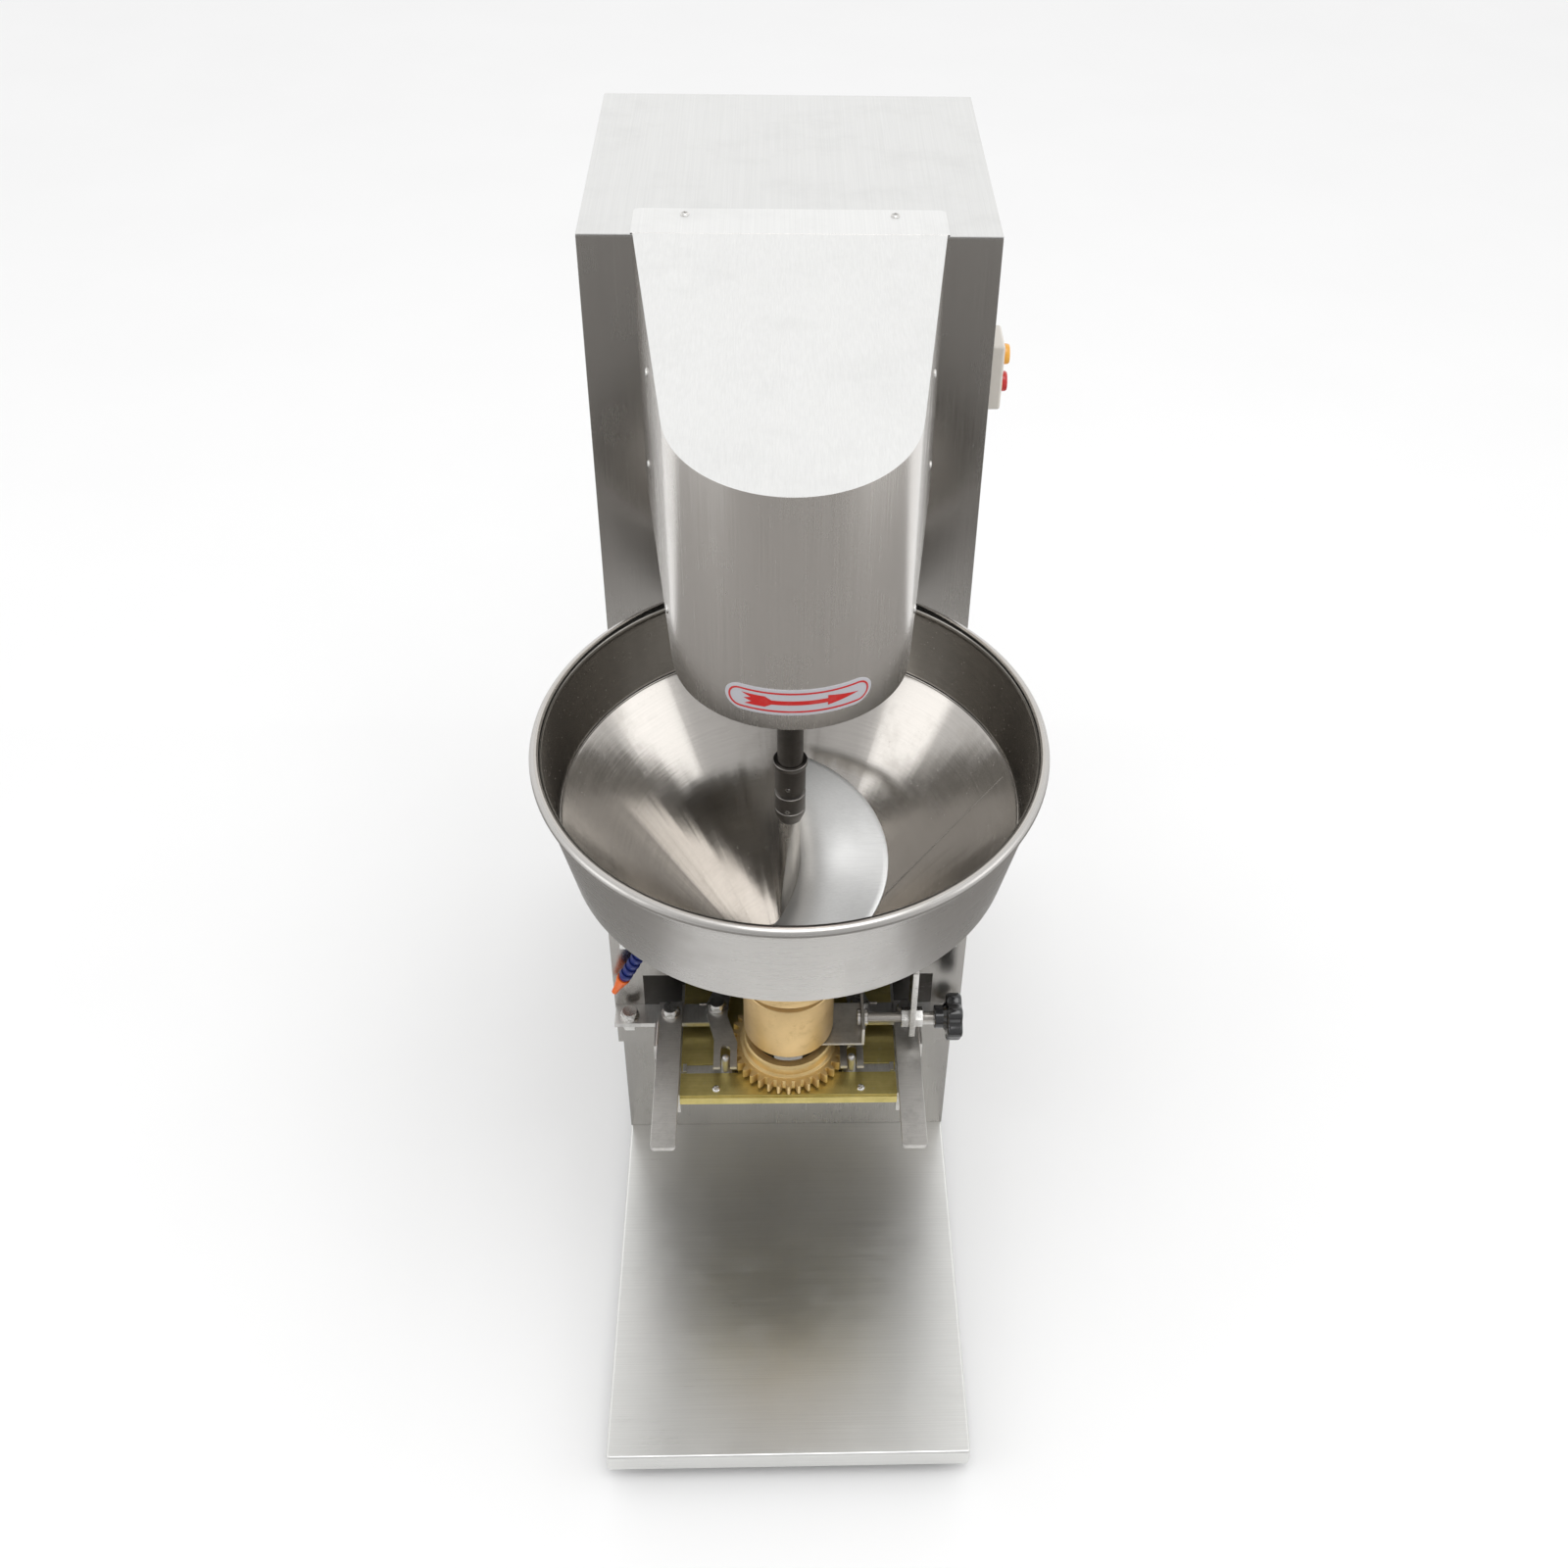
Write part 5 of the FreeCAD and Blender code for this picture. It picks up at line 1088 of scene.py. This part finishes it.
def makeFeet():
    low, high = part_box("rubber_feet")
    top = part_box("base_pan")[0].z
    r = foot["radius"]
    points = [(0, low.z), (r * 0.92, low.z), (r, low.z + 0.0012)]
    for i in range(foot["grooves"]):
        z = low.z + foot["firstGroove"] + i * foot["pitch"]
        edge = r * (1 - (1 - foot["topShare"]) * (z - low.z) / top)
        deep = edge - foot["groove"]
        points += [(edge, z), (deep, z + 0.0008), (deep, z + 0.0018), (edge, z + 0.0026)]
    narrow = r * foot["topShare"]
    points += [(narrow, top - 0.0006), (narrow - 0.0006, top - 0.00005), (0, top - 0.00005)]
    pad = turnedProfile(points, 48)
    feet = []
    for x in (low.x + r, high.x - r):
        for y in (low.y + r, high.y - r):
            feet.append(copied(pad, Matrix.Translation((x, y, 0))))
    bpy.data.objects.remove(pad)
    smoothed(joined(feet), 40)
    finished(bpy.context.object, "rubberFeet", "rubber_feet", "rubber", ("rubber_feet",))


makeFeet()
print("switch box and feet made")


# pressed hoods over the rear vents
louvre = {
    "length": 0.096, "height": 0.0085, "rise": 0.0019, "sheet": 0.0007, "across": (-0.0675, 0.0675),
    "levels": (0.22, 0.72), "rows": 8, "pitch": 0.012, "drop": 0.0005,
}


def makeLouvres():
    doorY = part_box("rear_cover")[1].y
    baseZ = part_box("base_pan")[1].z
    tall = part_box("column_lid")[1].z - baseZ
    bpy.ops.object.select_all(action="DESELECT")
    bpy.ops.mesh.primitive_grid_add(x_subdivisions=16, y_subdivisions=6, size=1)
    hood = bpy.context.object
    for vertex in hood.data.vertices:
        u, v = vertex.co.x * 2, vertex.co.y + 0.5
        swell = (1 - abs(u) ** 4) * math.sin(math.pi * (1 - v) * 0.5) ** 0.8
        rise = max(0, swell) * (louvre["rise"] - louvre["sheet"])
        vertex.co = (u * louvre["length"] / 2, v * louvre["height"], rise)
    applied(hood, "SOLIDIFY", thickness=louvre["sheet"], offset=1)
    smoothed(hood, 60)
    hoods = []
    for level in louvre["levels"]:
        for row in range(louvre["rows"]):
            for x in louvre["across"]:
                z = baseZ + tall * level + row * louvre["pitch"] - louvre["drop"]
                place = Matrix.Translation((x, doorY, z)) @ Matrix.Rotation(math.pi, 4, "Z")
                hoods.append(copied(hood, place @ Matrix.Rotation(math.pi / 2, 4, "X")))
    bpy.data.objects.remove(hood)
    finished(joined(hoods), "ventHoods", "rear_cover", "sheetUpright")


makeLouvres()


# weld lines: gussets to arms and shelves to housing
weld = {
    "gusset": {"inset": 0.003, "ends": (0.056, 0.026), "pitch": 0.0012, "size": 0.0014},
    "shelf": {"edge": 0.0640, "ends": (0.004, 0.030), "back": 0.0005, "pitch": 0.0013, "size": 0.0015},
}


def makeWelds():
    gusset, shelf = weld["gusset"], weld["shelf"]
    for side, name in ((-1, "left"), (1, "right")):
        low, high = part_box("tray_arm_" + name)
        x = high.x - gusset["inset"] if side > 0 else low.x + gusset["inset"]
        start, end = ((x, high.y - back, high.z) for back in gusset["ends"])
        path = straightPath(start, end, gusset["pitch"])
        weldBead(name + "GussetWeld", "tray_arm_" + name, path, gusset["size"])
        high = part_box("shelf_" + name)[1]
        start, end = ((side * (shelf["edge"] + out), high.y - shelf["back"], high.z) for out in shelf["ends"])
        path = straightPath(start, end, shelf["pitch"])
        weldBead(name + "ShelfWeld", "shelf_" + name, path, shelf["size"])


makeWelds()
print("louvres and welds made")

# the rest of the CAD pieces take a finish as they are
plain = {
    "base_pan": "sheetBase", "direction_label": "silverFilm", "head_mount_plate": "iron",
    "bearing_housing": "iron", "head_bearings": "zinc", "drive_belt": "rubber", "auger_motor": "motorBlue",
    "hopper_neck": "bronze", "gear_seat": "bronze", "gearmotor_stand": "iron", "gear_reducer": "iron",
    "lower_motor": "motorBlue", "auger_shaft": "shaft", "head_shaft": "darkShaft", "auger_pulley": "iron",
    "motor_pulley": "iron", "motor_shaft": "shaft", "drive_axle": "shaft", "knife_cam": "darkShaft",
}
for node, look in plain.items():
    nodes[node].data.materials.clear()
    nodes[node].data.materials.append(finish[look])
print("finishes given to", len(plain), "CAD pieces")


# studio: pale floor, soft boxes, and dark cards on the floor that only reflections see
studio = {
    "floor": 14.0, "sky": 0.95, "skyTilt": 0.34, "cardRise": 0.004,
    "lamps": (
        ("topBox", (0.3, -0.9, 3.3), (0, 0, 0.6), 1.8, 24),
        ("leftBox", (-2.6, -1.0, 1.8), (0, 0, 0.7), 1.5, 8),
        ("rightBox", (2.7, -0.6, 2.0), (0, 0, 0.7), 1.5, 8),
    ),
    "cards": ((0, -2.08, 3.4, 2.6), (1.15, -0.03, 1.5, 1.5), (-1.15, -0.03, 1.5, 1.5)),
}


def makeStudio():
    bpy.ops.object.select_all(action="DESELECT")
    bpy.ops.mesh.primitive_plane_add(size=studio["floor"])
    floor = bpy.context.object
    floor.name = "floor"
    s = Shader("paleFloor")
    cloth = s.noise(s.place, 3.0, 3.0)
    floor.data.materials.append(s.surface({
        "Base Color": s.mix(cloth, shade(0.90, 0.90, 0.90), shade(0.93, 0.93, 0.93)), "Roughness": 0.9,
    }))
    s = Shader("darkCard")
    weave = s.noise(s.place, 30.0, 3.0)
    cloth = s.surface({
        "Base Color": s.mix(weave, shade(0.27, 0.26, 0.25), shade(0.33, 0.32, 0.31)), "Roughness": 0.9,
    })
    for x, y, width, depth in studio["cards"]:
        bpy.ops.object.select_all(action="DESELECT")
        bpy.ops.mesh.primitive_plane_add(size=1, location=(x, y, studio["cardRise"]))
        card = bpy.context.object
        card.name = "darkCard"
        card.scale = (width, depth, 1)
        settled(card)
        card.visible_camera = False
        card.visible_diffuse = False
        card.visible_shadow = False
        card.data.materials.append(cloth)
    for name, place, aim, size, power in studio["lamps"]:
        data = bpy.data.lights.new(name, "AREA")
        data.shape = "SQUARE"
        data.size = size
        data.energy = power
        lamp = bpy.data.objects.new(name, data)
        bpy.context.scene.collection.objects.link(lamp)
        lamp.location = place
        lamp.rotation_euler = (Vector(aim) - Vector(place)).to_track_quat("-Z", "Y").to_euler()
    world = bpy.data.worlds.new("studio")
    bpy.context.scene.world = world
    s = Shader("sky", world)
    depth = s.node("ShaderNodeSeparateXYZ", {}, {"Vector": s.place}, "Y")
    strength = depth * studio["skyTilt"] + studio["sky"]  # brighter behind the machine than in front
    glow = s.node("ShaderNodeBackground", {}, {"Color": (1, 1, 1, 1), "Strength": strength}, "Background")
    s.node("ShaderNodeOutputWorld", {}, {"Surface": glow})
    bpy.context.scene.view_settings.view_transform = "Standard"


makeStudio()
print("studio lit")
